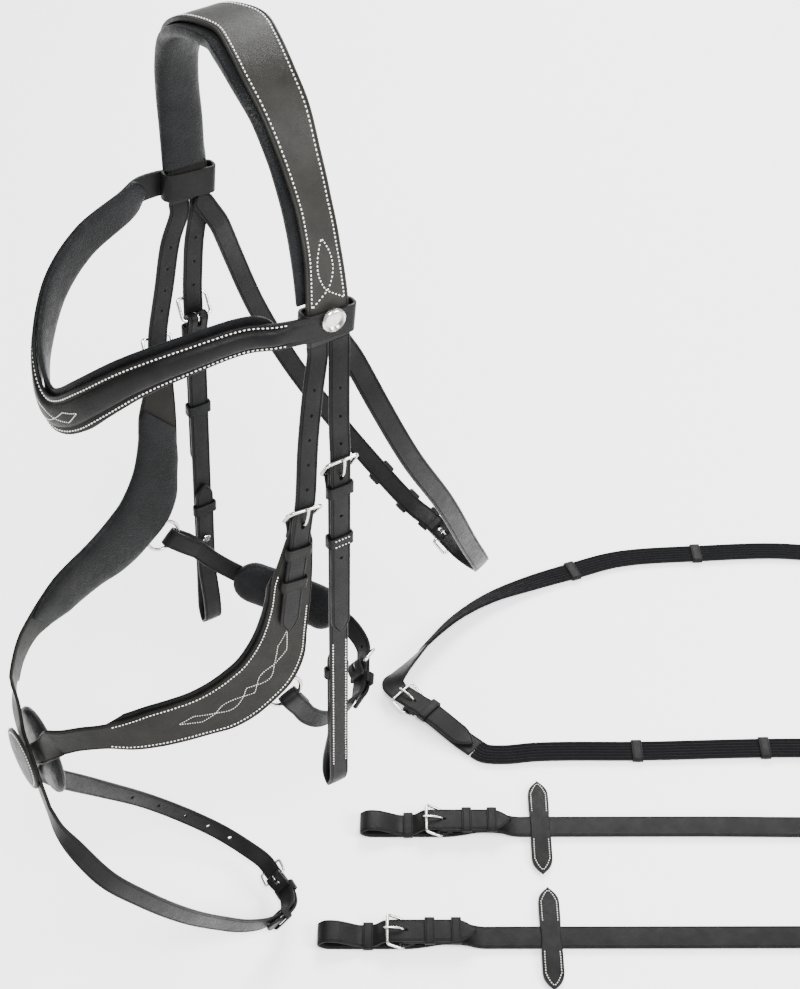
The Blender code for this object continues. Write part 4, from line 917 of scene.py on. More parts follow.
CROWN_ROWS = [(0, -3, 13), (17, -5.5, 11), (36, -8.5, 4.5), (54, -9, -9), (67, -8.5, -30),
              (75.5, -6.5, -56), (79.5, -4.5, -85), (81.5, -4, -114), (82, -4, -142)]
CROWN_WIDTHS = [31, 30.5, 30, 28, 24, 21.5, 22.5, 26, 27]
CROWN_PAD_WIDTHS = [38, 37, 34, 30, 27, 27, 28, 28]
CROWN_PAD_DEPTHS = [11.2, 11, 9.5, 8, 7, 7, 6, 4.5]


def both_ways(rows):
    """Rows for the left half from the middle down, doubled to run right to left."""
    return [(-x, y, z) for x, y, z in rows[:0:-1]] + rows


def doubled(sizes):
    """Sizes in millimetres for the left half from the middle down, doubled in the same way."""
    return [size * MM for size in sizes[:0:-1] + sizes]


crown_points = vecs(both_ways(CROWN_ROWS))
crown = route(crown_points, (0, 1, 0))
crown_width = by_points(crown, doubled(CROWN_WIDTHS))
# Its finish is painted lighter, standing in for the light from above on its upward face.
strap("crown_leather", crown, crown_width, CROWN_THICK, kind="crown")

crown_marks = [nearest(crown, point) for point in crown_points[1:-1]]
pad_run = inner_run(crown, crown_marks[0], crown_marks[-1], CROWN_THICK / 2 + 2 * CLEAR, -3 * MM)
pad_marks = [(mark - crown_marks[0]) / (crown_marks[-1] - crown_marks[0]) for mark in crown_marks]


def pad_size(sizes):
    """A size of the padding along it, from its sizes under the crown's points."""
    return by_table([(share * pad_run.length, size) for share, size in zip(pad_marks, doubled(sizes))])


strap("crown_padding", pad_run, pad_size(CROWN_PAD_WIDTHS), pad_size(CROWN_PAD_DEPTHS), kind="soft",
      section=pad_section)

VEE_END, VEE_TOP = crown.length - 26 * MM, crown.length - 34 * MM
DROP_TOP = crown.length - 67 * MM


def crown_edge(s):
    return crown_width(s) / 2 - 2.9 * MM


def crown_place(s, across):
    centre, _, w, n = crown.at(s)
    return centre + across * w + CROWN_THICK / 2 * n, n


def drop_row(side):
    """Half of the teardrop above a crown's end: it crosses the other half and runs on to the far edge."""
    row = []
    for share in np.linspace(0.0, 1.0, 17):
        swell = math.sin(math.pi * share) ** 0.85 * (0.8 + 0.3 * share)
        row.append(crown_place(DROP_TOP + share * (VEE_TOP - DROP_TOP), side * 4.9 * MM * swell))
    for share in (0.35, 0.7, 1.0):
        row.append(crown_place(VEE_TOP + share * (VEE_END - VEE_TOP), -side * share * crown_edge(VEE_END)))
    return row


crown_rows = edge_rows(crown, crown.length - VEE_END, VEE_END, crown_edge, CROWN_THICK / 2)
for end in (LEFT, RIGHT):
    crown_rows += [[sided(place, end) for place in drop_row(side)] for side in (1, -1)]
sew("crown_stitches", "headpiece", crown_rows)

CROWN_END = vec(82, -4, -129)
LOOP_TILT = math.radians(6)
LOOP_HALF_WIDTH = 15.5 * MM
LOOP_LOW = CROWN_END[0] - CROWN_THICK / 2 - CLEAR - STRAP_THICK - 0.4 * MM
LOOP_HIGH = CROWN_END[0] + CROWN_THICK / 2 + 0.4 * MM
loop_seat = Seat((0, CROWN_END[1], CROWN_END[2]), (0, -math.sin(LOOP_TILT), -math.cos(LOOP_TILT)), (1, 0, 0))
loop_band = band_body(loop_seat, LOOP_HALF_WIDTH, LOOP_LOW, LOOP_HIGH, LOOP_HEIGHT, LOOP_WALL, 2.4 * MM)

# Degrees round the forehead from the side, height and width of the browband, then its ends.
BROW_ANGLES = [(90, -187.5, 24.5), (83, -185.5, 24.5), (75, -179, 24.5), (65, -166, 24), (50, -146.5, 22.5),
               (35, -133.5, 20.5), (20, -126.5, 18.5)]
BROW_ENDS = [(82.6, -37, -125.5), (84.9, -24, -126.5), (85.1, -14, -128)]
BROW_WIDTHS = [width for _, _, width in BROW_ANGLES] + [17.5, 17, 16.5]
BROW_RISE = 2.8 * MM
brow_rows = []
for degrees, height, _ in BROW_ANGLES:
    a = math.radians(degrees)
    brow_rows.append((80 * math.cos(a), -4 - BROW_REACH / MM * math.sin(a), height))
brow = route(vecs(both_ways(brow_rows + BROW_ENDS)), (0, 0, 1))
brow_width = by_points(brow, doubled(BROW_WIDTHS))


def brow_rise(s):
    """How far the padded middle stands out: it runs out before the loops."""
    return BROW_RISE * min(1.0, max(0.05, (min(s, brow.length - s) - 10 * MM) / (14 * MM)))


browband = strap("browband_leather", brow, brow_width, lambda s: STRAP_THICK + brow_rise(s),
                 section=raised_section)
for side in (LEFT, RIGHT):
    fuse(browband, [loop_band], side)


def brow_edge(s):
    return 0.8 * brow_width(s) / 2


def brow_place(s, across):
    """A place on the browband's raised middle, s along from its centre."""
    s += brow.length / 2
    centre, _, w, n = brow.at(s)
    share = min(0.95, abs(across) / (0.3 * brow_width(s)))
    return centre + across * w + (STRAP_THICK / 2 + brow_rise(s) * (1 - share * share) ** 0.45) * n, n


BROW_PATTERN = [(-34 * MM, -13 * MM, "diamond"), (-13 * MM, 13 * MM, "lens"), (13 * MM, 34 * MM, "diamond")]
sew("browband_stitches", "headpiece",
    edge_rows(brow, 17 * MM, brow.length - 17 * MM, brow_edge, STRAP_THICK / 2 + STITCH_LIFT))
sew("browband_pattern", "headpiece", woven_rows(brow_place, BROW_PATTERN, 3.4 * MM), size=0.62)

brow_ends = 22 * MM
brow_pad = inner_run(brow, brow_ends, brow.length - brow_ends, STRAP_THICK / 2 + CLEAR + 1.0 * MM, 1 * MM)
strap("browband_lining", brow_pad, lambda s: brow_width(s + brow_ends) + 4.5 * MM, 3.6 * MM, kind="soft",
      section=pad_section, start="round", end="round")

BADGE_ROWS = [(0, 1.5), (2.6, 1.4), (4.6, 1.1), (5.5, 0.8), (5.9, 2.1), (6.5, 2.4), (7.1, 2.0), (7.5, 1.2),
              (7.5, 0), (0, 0)]
turned("browband_badge", [(r * MM, h * MM) for r, h in BADGE_ROWS],
       (LOOP_HIGH + LOOP_WALL + CLEAR, -3 * MM, -125.5 * MM), (1, 0, 0))


# Cheekpieces and their billets, one side after the other.

CHEEK_SEAT = Seat(vec(91, -4, -229), (0.0226, -0.0383, -0.999), (1, 0, 0))
CHEEK_TOP = -142.8
CHEEK_TIP = 136 * MM
STUD_U = 204 * MM
CHEEK_LOOP = ((-120, 0), (-50, 0), (-24, 0.2), (-8, -0.4), (0, -4.6), (-5, -9.4), (-20, -9.6), (-38, -6))
CHEEK_BACK = ((-52, -0.3), (-66, 0), (-120, 0), (-133, 0))
cheek_line = path_in(CHEEK_SEAT, chape_rows(20 * MM) + [(CHAPE_START + 20 * MM, CHAPE_N)]
                     + [(CHEEK_LENGTH + u * MM, CHAPE_N + n * MM) for u, n in CHEEK_LOOP]
                     + [(CHEEK_LENGTH + u * MM, BACK_N + n * MM) for u, n in CHEEK_BACK])
cheek_lead = vecs([(82, 3, CHEEK_TOP), (82, 3, -149), (84.3, 1.2, -161), (87, -1, -178), (89.5, -3, -205)])
cheek_over = route(cheek_lead + [CHEEK_SEAT.point(u, 0) for u in (-12 * MM, 0, 40 * MM, 90 * MM, CHEEK_TIP)],
                   CHEEK_SEAT.w)


def cheek(side, prefix, runner_u):
    """A cheek: its billet, the folded cheekpiece with its buckle, the loose keeper and the hook stud."""
    holes = [hole_on(cheek_over, s * MM) for s in (32, 51, 70)]
    holes += [hole_at(CHEEK_SEAT, u * MM) for u in (38, 55, 72)]
    piece = billet(prefix + "_cheek_billet", cheek_over, CHEEK_SEAT, holes, side)
    bend(piece, prefix + "_cheek", *sided((cheek_lead[0], cheek_lead[2]), side))
    piece = strap(prefix + "_cheekpiece", cheek_line, side=side, end="point")
    back_face = BACK_N - STRAP_THICK / 2
    back_front = BACK_N + STRAP_THICK / 2 + 0.2 * MM
    back_keeper = band_body(CHEEK_SEAT.moved(CHEEK_LENGTH - 111 * MM), STRAP_WIDTH / 2 + 2.5 * CLEAR,
                            back_face - 2 * CLEAR, back_front, KEEPER_HEIGHT, KEEPER_WALL)
    fuse(piece, [keeper_body(CHEEK_SEAT.moved(18 * MM), CHAPE_N, STRAP_THICK / 2), back_keeper], side)
    stud_spot = CHEEK_SEAT.point(STUD_U, BACK_N)
    stud_hole = hole_body(stud_spot, CHEEK_SEAT.n, CHEEK_SEAT.w, 1.9 * MM, depth=2.8 * MM)
    cut(piece, [chape_slot(CHEEK_SEAT), stud_hole], side)
    buckle_set(prefix + "_cheek", CHEEK_SEAT, side)
    runner = CHEEK_SEAT.moved(runner_u)
    loose_keeper(prefix + "_cheek_runner", runner, CHAPE_N - STRAP_THICK / 2, STRAP_THICK / 2, side)
    low = back_face - CLEAR
    profile = [(0, back_front), (1.5 * MM, back_front), (1.5 * MM, low), (2.6 * MM, low),
               (3.0 * MM, low - 0.4 * MM), (2.6 * MM, low - 0.9 * MM), (0, low - 0.9 * MM)]
    turned(prefix + "_hook_stud", profile, CHEEK_SEAT.point(STUD_U, 0), CHEEK_SEAT.n, side=side)
    face = CHAPE_N + STRAP_THICK / 2
    sew(prefix + "_cheek_stitches", prefix + "_cheek",
        [[(CHEEK_SEAT.point(u, face, w), CHEEK_SEAT.n) for u in np.linspace(146 * MM, 262 * MM, 20)]
         for w in (-4.7 * MM, 4.7 * MM)], side)
    sew(prefix + "_runner_stitches", prefix + "_cheek_runner",
        keeper_rows(runner, STRAP_THICK / 2 + CLEAR + KEEPER_WALL), side, 0.8)


cheek(LEFT, "left", 58 * MM)
cheek(RIGHT, "right", 85 * MM)


# The noseband: crescents on an upright elliptic surface, their linings and hangers.

NOSE_FLARE = 2.5 * MM
NOSE_TOP = -262 * MM
NOSE_PLUMB = -340 * MM
turns = np.linspace(math.radians(-20), math.radians(92), 600)
plan = np.stack([NOSE_HALF_SPAN * np.cos(turns), NOSE_REAR - NOSE_REACH * np.sin(turns)], axis=1)
arcs = np.concatenate([[0.0], np.cumsum(np.linalg.norm(np.diff(plan, axis=0), axis=1))])
arcs -= np.interp(0.0, turns, arcs)


def nose_point(s, z, offset=0.0):
    """A point on the noseband surface: arc forward from its widest place, height."""
    theta = np.interp(s, arcs, turns)
    out = unit([math.cos(theta) / NOSE_HALF_SPAN, -math.sin(theta) / NOSE_REACH, 0.0])
    flare = NOSE_FLARE * max(0.0, min(1.0, (z - NOSE_PLUMB) / (NOSE_TOP - NOSE_PLUMB)))
    base = np.array([NOSE_HALF_SPAN * math.cos(theta) + flare, NOSE_REAR - NOSE_REACH * math.sin(theta), z])
    return base + offset * out, out


CRESCENT_UPPER = [(13, -274), (17, -286), (22, -301), (25, -321), (33, -346), (45, -364), (54, -371),
                  (66, -378), (79, -383), (93, -386), (107, -389), (121, -394), (136, -399), (151, -403),
                  (166, -410), (176, -414)]
CRESCENT_LOWER = [(-6, -279), (-5, -308), (-3, -333), (0, -357), (3, -379), (12, -397), (25, -408),
                  (40, -417), (54, -421), (69, -421), (85, -422), (102, -423), (118, -423), (134, -421),
                  (152, -425), (164, -432)]
CRESCENT_PATTERN = [(27, 37, "diamond"), (37, 46, "lens"), (46, 52, "diamond"), (52, 63, "lens"),
                    (63, 76, "diamond")]
nose_start, nose_out = nose_point(1.0 * MM, -253 * MM, LAYER)
nose_next, _ = nose_point(6.0 * MM, -288 * MM, LAYER)
NOSE_SEAT = Seat(nose_start, nose_next - nose_start, nose_out)
TAIL_LEFT = [(22, -189.4, -437), (11, -190.4, -451), (0, -190.6, -464), (-9, -190.2, -481),
             (-15.1, -188.35, -500.9)]
TAIL_RIGHT = [(22, -189.6, -437), (11, -192.9, -450), (0, -193.8, -462), (-14, -195.4, -474),
              (-31.8, -197.35, -483.6)]
TAIL_WIDTHS = [21, 17, 16, 15, 14.5, 14]
STATIONS = 8
NOSE_HOLE_PITCH = 16.5 * MM


def edge_stations():
    """Pairs of lower and upper edge points with the outward direction between them."""
    low, high = [spline([[s * MM, z * MM] for s, z in edge], STATIONS)
                 for edge in (CRESCENT_LOWER, CRESCENT_UPPER)]
    stations = []
    for (s0, z0), (s1, z1) in zip(low, high):
        lower, _ = nose_point(s0, z0)
        upper, _ = nose_point(s1, z1)
        _, out = nose_point((s0 + s1) / 2, (z0 + z1) / 2)
        out = unit(out - np.dot(out, unit(upper - lower)) * unit(upper - lower))
        stations.append((lower, upper, out))
    return stations


NOSE_STATIONS = edge_stations()


def station_ring(lower, upper, out, thick, section, shift=0.0):
    middle, across = (lower + upper) / 2, unit(upper - lower)
    size = np.linalg.norm(upper - lower)
    return [middle + a * across + (b + shift) * out for a, b in section(size, thick)]


def crescent_rings(tail_rows):
    """A crescent's rings: the fold round a buckle's bar, the shaped leather, the tail to the patch."""
    fold = path_in(NOSE_SEAT, chape_rows(13 * MM))
    rings = []
    for s in fold.thinned():
        centre, _, w, n = fold.at(s)
        rings.append([centre + a * w - b * n for a, b in flat_section(STRAP_WIDTH, STRAP_THICK)])
    rings += [station_ring(*station, STRAP_THICK, flat_section) for station in NOSE_STATIONS]
    last_lower, last_upper, _ = NOSE_STATIONS[-1]
    centres = [(last_lower + last_upper) / 2] + vecs(tail_rows)
    across = [unit(last_upper - last_lower)]
    for i in range(1, len(centres)):
        ahead = centres[min(i + 1, len(centres) - 1)] - centres[i - 1]
        across.append(unit(np.cross(ahead, FORWARD)))
    tail = route(centres, across)
    widths = by_points(tail, [w * MM for w in TAIL_WIDTHS])
    for s in tail.thinned()[1:]:
        centre, _, w, n = tail.at(s)
        n = n if n[1] < 0 else -n
        rings.append([centre + a * w + b * n for a, b in flat_section(widths(s), STRAP_THICK)])
    return rings


RING_CENTRE, RING_OUT = nose_point(17 * MM, -408 * MM, -STRAP_THICK / 2 - CLEAR - RING_WIRE - 0.4 * MM)


def crescent_place(index, across):
    """A place on the crescent's face: across is measured from its middle line."""
    low = min(int(index), len(NOSE_STATIONS) - 2)
    share = index - low
    lower, upper, out = [(1 - share) * a + share * b
                         for a, b in zip(NOSE_STATIONS[low], NOSE_STATIONS[low + 1])]
    return (lower + upper) / 2 + across * unit(upper - lower) + (STRAP_THICK / 2 + STITCH_LIFT) * out, out


def crescent_row(start, end, edge):
    """A row of stitches along the crescent's upper or lower edge."""
    row = []
    inset = 2.9 * MM if edge > 0 else 4.0 * MM
    for index in range(start, end + 1):
        lower, upper, _ = NOSE_STATIONS[index]
        row.append(crescent_place(index, edge * (np.linalg.norm(upper - lower) / 2 - inset)))
    return row


def nose_cheek(side, prefix, tail_rows, first_hole):
    """A side of the noseband: crescent, lining and ring, and the hanger that buckles to it."""
    piece = look(prefix + "_crescent", [loft(crescent_rings(tail_rows))], "face", side)
    billet_points = vecs([(82, -11, -142.4), (82, -11, -149), (86, -17.5, -172), (88.8, -23.5, -205)])
    billet_points += [NOSE_SEAT.point(u, 0) for u in (-12 * MM, 0, CHAPE_START)]
    for s, z in ((7.5, -296), (10.5, -318), (14, -347)):
        billet_points.append(nose_point(s * MM, z * MM, LAYER + 0.2 * MM)[0])
    over = route(billet_points, NOSE_SEAT.w)
    keepers = []
    for s, z in ((5.3, -281), (9, -307)):
        centre, out = nose_point(s * MM, z * MM)
        keepers.append(keeper_body(Seat(centre, NOSE_SEAT.u, out), 0.0, LAYER + STRAP_THICK / 2 + 0.35 * MM))
    fuse(piece, keepers, side)
    cut(piece, [chape_slot(NOSE_SEAT)], side)
    holes = [hole_on(over, first_hole + NOSE_HOLE_PITCH * i) for i in range(5 if side == LEFT else 4)]
    billet(prefix + "_noseband_billet", over, NOSE_SEAT, holes, side)
    buckle_set(prefix + "_noseband", NOSE_SEAT, side)
    lining_rings = []
    stations = NOSE_STATIONS[3 * STATIONS // 2:12 * STATIONS + 1]
    for index, (lower, upper, out) in enumerate(stations):
        rise = unit(upper - lower)
        inward = min(1.0, min(index, len(stations) - 1 - index) / STATIONS)
        share = 0.35 + 0.65 * inward
        lining_rings.append(station_ring(lower + (2.5 - 2.0 * inward) * MM * rise,
                                         upper + (4.2 * inward - 2.0) * MM * rise, out, LINING_THICK * share,
                                         pad_section, -STRAP_THICK / 2 - CLEAR))
    lining = look(prefix + "_crescent_lining", [loft(lining_rings)], "soft", side)
    cut(lining, [torus_body(RING_CENTRE, RING_OUT, RING_RADIUS, RING_WIRE + 0.4 * MM)], side)
    look(prefix + "_ring", [torus_body(RING_CENTRE, RING_OUT, RING_RADIUS, RING_WIRE)], "steel", side, 60)
    edges = [crescent_row(13, 94, 1), crescent_row(17, 102, -1)]
    sew(prefix + "_crescent_stitches", "headpiece", edges, side, 0.92)
    pattern = woven_rows(crescent_place, CRESCENT_PATTERN, 4.3 * MM)
    sew(prefix + "_crescent_pattern", "headpiece", pattern, side, 0.62)


nose_cheek(LEFT, "left", TAIL_LEFT, 28 * MM)
nose_cheek(RIGHT, "right", TAIL_RIGHT, 34 * MM)


# The nose patch.

PATCH_Z = -463 * MM
PATCH_ROWS = [(0, 0), (PATCH_RADIUS - 2.5 * MM, 0), (PATCH_RADIUS - 0.6 * MM, -1.2 * MM),
              (PATCH_RADIUS, -3.2 * MM), (PATCH_RADIUS - 1 * MM, -5 * MM), (PATCH_RADIUS - 4 * MM, -6.4 * MM),
              (PATCH_RADIUS / 2, -7 * MM), (0, -7.2 * MM)]
turned("patch_padding", PATCH_ROWS, (0, -187.4 * MM, PATCH_Z), FORWARD, kind="soft")
turned("patch_leather", [(0, 2.6 * MM), (12 * MM, 2.5 * MM), (21 * MM, 2.0 * MM), (21.8 * MM, 1.4 * MM),
                         (21.8 * MM, 0), (0, 0)], (0, -197.6 * MM, PATCH_Z), FORWARD, kind="face")
patch_spots = disc(np.array([0, -199.75 * MM, PATCH_Z]), np.array([1, 0, 0]), UP, 19.2 * MM, 36)
sew("patch_stitches", "headpiece", [[(spot, FORWARD) for spot in patch_spots + patch_spots[:1]]], size=0.8)


# The lower strap of the noseband.

LOWER_ACROSS = unit((0, 0.85, 0.53))
LOWER_TURN = unit((0.2, 0.65, 0.75))
LOWER_SEAT = Seat(vec(-12, -18, -744), (0.98, 0.08, -0.18), (0, 0.53, -0.85))
LOWER_ROWS = [(18, -22, -745.5), (28, -34, -740), (35, -50, -729), (43, -72, -705), (50, -93, -676),
              (64, -126, -622), (71, -158, -567), (69, -181, -527), (56, -193.5, -499),
              (44.9, -197.2, -490.4), (31.4, -197.35, -483.4)]
lower_base = route(leaving(LOWER_SEAT) + vecs(LOWER_ROWS), [LOWER_SEAT.w] * 9
                   + [LOWER_ACROSS, LOWER_TURN, unit((0.4, 0.3, 0.9)), unit((0.47, 0, 0.88))])
lower_strap = buckled_strap("lower_strap", LOWER_SEAT, lower_base, 11 * MM, [5 * MM])
bend(lower_strap, "lower", vec(34, -196.6, -486), vec(64, -186, -518))
lower_lead = vecs([(-15.1, -188.3, -501.05), (-22, -174, -524), (-50, -133, -596), (-62, -95, -651),
                   (-60, -64, -691), (-51, -42, -717), (-37, -26.5, -734.5)])
lower_over = over_path(lower_lead, LOWER_SEAT, lower_base, 58 * MM,
                       [unit((-0.956, 0, 0.293)), unit((-0.8, 0.4, 0.42)), unit((-0.25, 0.8, 0.5))]
                       + [LOWER_SEAT.w] * 4, rise=1.1 * MM)
LOWER_HOLE_RADIUS = 1.6 * MM
lower_holes = [hole_on(lower_over, s * MM, LOWER_HOLE_RADIUS) for s in (160, 196, 229, 255, 278)]
lower_billet = billet("lower_billet", lower_over, LOWER_SEAT, lower_holes)
bend(lower_billet, "lower", lower_lead[0], vec(-20, -177, -520))
buckle_set("lower", LOWER_SEAT)
lower_spot = seat_on(lower_base, 38 * MM, -1)
loose_keeper("lower_keeper", lower_spot, -STRAP_THICK / 2 - 0.7 * MM, LAYER + STRAP_THICK / 2 + 1.5 * MM)


# The jowl strap between the rings, with its chin pad.

JOWL_ACROSS = unit((0, 0.61, 0.79))
JOWL_SEAT = Seat(vec(42, 38, -471), (0.84, -0.53, -0.10), (0.36, 0.70, -0.62))
jowl_onward = vecs([(65, 17.5, -474.5), (72, 1, -471), (79, -16, -461), (84, -30, -443)])


def ring_seat(back, down):
    """A seat in a ring's plane, looking from its centre along the strap."""
    along = np.array([0.0, back, -down])
    return Seat(RING_CENTRE, along - np.dot(along, RING_OUT) * RING_OUT, RING_OUT)


NEAR_RING = ring_seat(0.44, 0.90)
FAR_RING = ring_seat(0.73, 0.68)
RING_BEND = RING_RADIUS - 2.9 * MM
RING_FOLD = RING_WIRE + CLEAR + STRAP_THICK / 2 + 0.6 * MM


def ring_rows(gap):
    """Rows round a ring from the main strap, through the ring, to the inner tail."""
    rows = [(25 * MM, 0.6 * MM), (18 * MM, 2.0 * MM)] + arc(RING_BEND, 0, RING_FOLD, 90, 271, 30)
    return rows + [(18 * MM, -gap * 0.75), (30 * MM, -gap)]


jowl_base = route(leaving(JOWL_SEAT) + jowl_onward + [NEAR_RING.point(u, n) for u, n in ring_rows(4.2 * MM)],
                  [JOWL_SEAT.w] * 2 + [JOWL_ACROSS] * 4 + [-NEAR_RING.w] * 11)
buckled_strap("jowl_strap", JOWL_SEAT, jowl_base, 11 * MM, [5 * MM])
far_rows = [FAR_RING.point(u, n) for u, n in ring_rows(8 * MM)][::-1]
jowl_lead = sided(far_rows, RIGHT) + vecs([(-80, -12, -448), (-64, 6, -462), (-40, 26, -468), (-10, 40, -466),
                                           (14, 45.5, -466.5)])
jowl_over = over_path(jowl_lead, JOWL_SEAT, jowl_base, 26 * MM,
                      [-FAR_RING.w] * 11 + [JOWL_ACROSS] * 5, rise=1.3 * MM)
billet("jowl_billet", jowl_over, JOWL_SEAT, [hole_at(JOWL_SEAT, -12 * MM)])
buckle_set("jowl", JOWL_SEAT)

CHIN_PAD_WIDTH = 31 * MM
CHIN_PAD_THICK = 7.5 * MM
chin_start = nearest(jowl_over, vec(-69, 0, -459))
chin_end = nearest(jowl_over, vec(2, 43, -466))
chin_run = jowl_over.part(chin_start, chin_end, 30).offset(STRAP_THICK / 2 + CLEAR + 0.2 * MM)
strap("chin_pad", Path(chin_run.c, -chin_run.w), CHIN_PAD_WIDTH, CHIN_PAD_THICK, kind="soft",
      section=pad_section, start="round", end="round")


# The throatlash.

THROAT_PIVOT = vec(79.0, 4, -146)
THROAT_ACROSS = unit((0, -0.9, -0.45))
THROAT_SEAT = Seat(vec(-17, 148.5, -458.5), (-0.78, -0.33, 0.53), (0, 0.45, -0.90))
throat_top = THROAT_PIVOT - STRAP_WIDTH / 2 * unit((0, 0.45, -0.90))
throat_fall = [throat_top] + vecs([(79.0, 7.6, -153.2), (79.3, 13, -164), (82.5, 18.5, -179), (87, 25, -198)])
throat_far = vecs([(-42, 135, -440), (-62, 118, -411), (-81, 93, -364), (-91, 69, -315), (-92.5, 43, -252)])
throat_base = route(leaving(THROAT_SEAT, 8 * MM) + throat_far + sided(throat_fall[::-1], RIGHT),
                    THROAT_ACROSS)
throat_marks = [8 * MM, 28 * MM, 58 * MM]
buckled_strap("throatlash_strap", THROAT_SEAT, throat_base, 11 * MM, throat_marks, end="round")
throat_lead = throat_fall + vecs([(91, 44, -245), (81, 77, -308), (57, 114, -384), (36, 140.5, -435),
                                  (20, 151, -455), (7, 153.6, -462.8)])
throat_over = over_path(throat_lead, THROAT_SEAT, throat_base, 82 * MM, sink=1.3 * MM, rise=1.0 * MM)
throat_zero = nearest(throat_over, THROAT_SEAT.p)
throat_holes = [hole_on(throat_over, throat_zero - s * MM) for s in (19, 36, 53)]
billet("throatlash_billet", throat_over, THROAT_SEAT, throat_holes, start="round")
buckle_set("throatlash", THROAT_SEAT)
throat_keeper = seat_on(throat_base, throat_marks[2], -1)
sew("throatlash_stitches", "throatlash", keeper_rows(throat_keeper, KEEPER_FACE + KEEPER_WALL), size=0.8)


# The reins, lying on the ground.

REIN_ALONG = unit((0.537, 0.843, 0))
REIN_ASIDE = unit((0.843, -0.537, 0))
REIN_FLOOR = GROUND + 1.6 * MM + STRAP_THICK / 2
REIN_BUCKLE = REIN_WIDTH + 9 * MM
ROOT_N = BAR_N - FOLD_RADIUS - STRAP_THICK - CLEAR


def ground_points(rows, rise=0.0):
    """Points of a strap on the ground, from (along, aside) or (along, aside, lift) rows in millimetres."""
    return [row[0] * MM * REIN_ALONG + row[1] * MM * REIN_ASIDE
            + (REIN_FLOOR + rise + (row[2] * MM if len(row) > 2 else 0.0)) * UP for row in rows]


def level(points):
    """Width directions of a strap lying flat."""
    rows = np.asarray(points)
    ahead = np.gradient(rows, axis=0)
    return [unit(np.cross(UP, step)) for step in ahead]


def rein_seat(along, aside):
    return Seat(ground_points([(along, aside)])[0] - ROOT_N * UP, REIN_ALONG, UP)


def rein(prefix, seat, onward, stop_u):
    """A leather rein end: root on the ground, loop for the bit, billet, buckle and stop."""
    root = [seat.point(u * MM, ROOT_N + n * MM) for u, n in
            ((110, 0), (92, 0), (79, 0), (70, 0), (64, 1.3), (57, 4.2), (50, 5.5), (36, 5.6), (24, 2.4),
             (12, 0.1), (0, 0), (-20, 0), (-44, 0))]
    over_root = ROOT_N + LAYER
    turn = [seat.point(u * MM, base + n * MM) for u, base, n in
            ((-56, ROOT_N, 1.0), (-60.5, ROOT_N / 2, -0.2), (-56, 0, -1.0), (-47, 0, -0.9), (-38, 0, -3.8),
             (-29, over_root, 0.3), (-22, over_root, 0.1), (-15.5, over_root, 1.4), (-8.5, 0, -1.0),
             (0, 0, 0), (CHAPE_START / MM, 0, 0), (40, 0, 0), (64, 0, 0))]
    start = ground_points(onward)
    across = level(start + root[:1])[:-1] + [seat.w] * (len(root) + len(turn))
    path = route(start + root + turn, across)
    piece = strap(prefix, path, REIN_WIDTH, end="point")
    chape = path_in(seat, chape_rows(9 * MM) + [(CHAPE_START + 18 * MM, CHAPE_N), (60 * MM, CHAPE_N)])
    back = keeper_body(seat.moved(-21.5 * MM), ROOT_N, over_root + STRAP_THICK / 2 + 0.35 * MM, REIN_WIDTH)
    keepers = [keeper_body(seat.moved(u * MM), CHAPE_N, STRAP_THICK / 2, REIN_WIDTH) for u in (27, 48)]
    fuse(piece, [strap_body(chape, REIN_WIDTH - 0.5 * MM, STRAP_THICK, end="point"), back] + keepers)
    cut(piece, [chape_slot(seat), tongue_hole(seat)])
    buckle_set(prefix, seat, width=REIN_BUCKLE)
    rein_stop(prefix + "_stop", seat_on(path, nearest(path, seat.point(stop_u * MM, ROOT_N))))
    return path


STOP_LENGTH = 94 * MM
STOP_WIDTH = 17 * MM
STOP_WALL = 1.3 * MM
STOP_INNER = STRAP_THICK / 2 + CLEAR + 0.15 * MM
STOP_ARM = [w * MM for w in (7, 13.5, 20, 27, 33, 37, 40, 42.5, 44.5, 46, 47)]
STOP_PLACES = [-w for w in STOP_ARM[::-1]] + [0.0] + STOP_ARM


def stop_half(w):
    """Half the leaf's width at a place along it: a waist over the rein and a pointed arch at each end."""
    rest = max(0.0, abs(w) / (STOP_LENGTH / 2) - 0.68) / 0.32
    waist = 0.9 * MM * max(0.0, 1 - abs(w) / (16 * MM))
    return max(0.4 * MM, (STOP_WIDTH / 2 - waist) * (1 - rest ** 2.2))


def stop_deep(w):
    """Half the stop's thickness at a place along it."""
    return STOP_INNER + STOP_WALL - max(0.0, abs(w) - 15 * MM) / (32 * MM) * STOP_INNER * 1.1


def rein_stop(name, seat):
    """A leather leaf across the rein, sewn in two layers with the rein between them."""
    rings = []
    for w in STOP_PLACES:
        half, deep = stop_half(w), stop_deep(w)
        e = min(0.5 * MM, 0.6 * half)
        rings.append([seat.point(u, n, w) for u, n in
                      ((-half + e, -deep), (-half, -deep + e), (-half, deep - e), (-half + e, deep),
                       (half - e, deep), (half, deep - e), (half, -deep + e), (half - e, -deep))])
    leaf = look(name, [loft(rings)], "leather")
    gap = REIN_WIDTH / 2 + CLEAR + 0.2 * MM
    cut(leaf, [box_body(seat, (-STOP_WIDTH, STOP_WIDTH), (-STOP_INNER, STOP_INNER), (-gap, gap))])
    arm = [(w, stop_half(w) - (2.3 if w < 35 * MM else 3.1) * MM) for w in STOP_ARM[1:-3]]
    around = arm + [(43.8 * MM, 0.0)] + [(w, -half) for w, half in arm[::-1]]
    rows = [[(seat.point(u, stop_deep(w), end * w), seat.n) for w, u in around] for end in (1, -1)]
    sew(name + "_stitches", BODY_OF[name], rows, size=0.9)


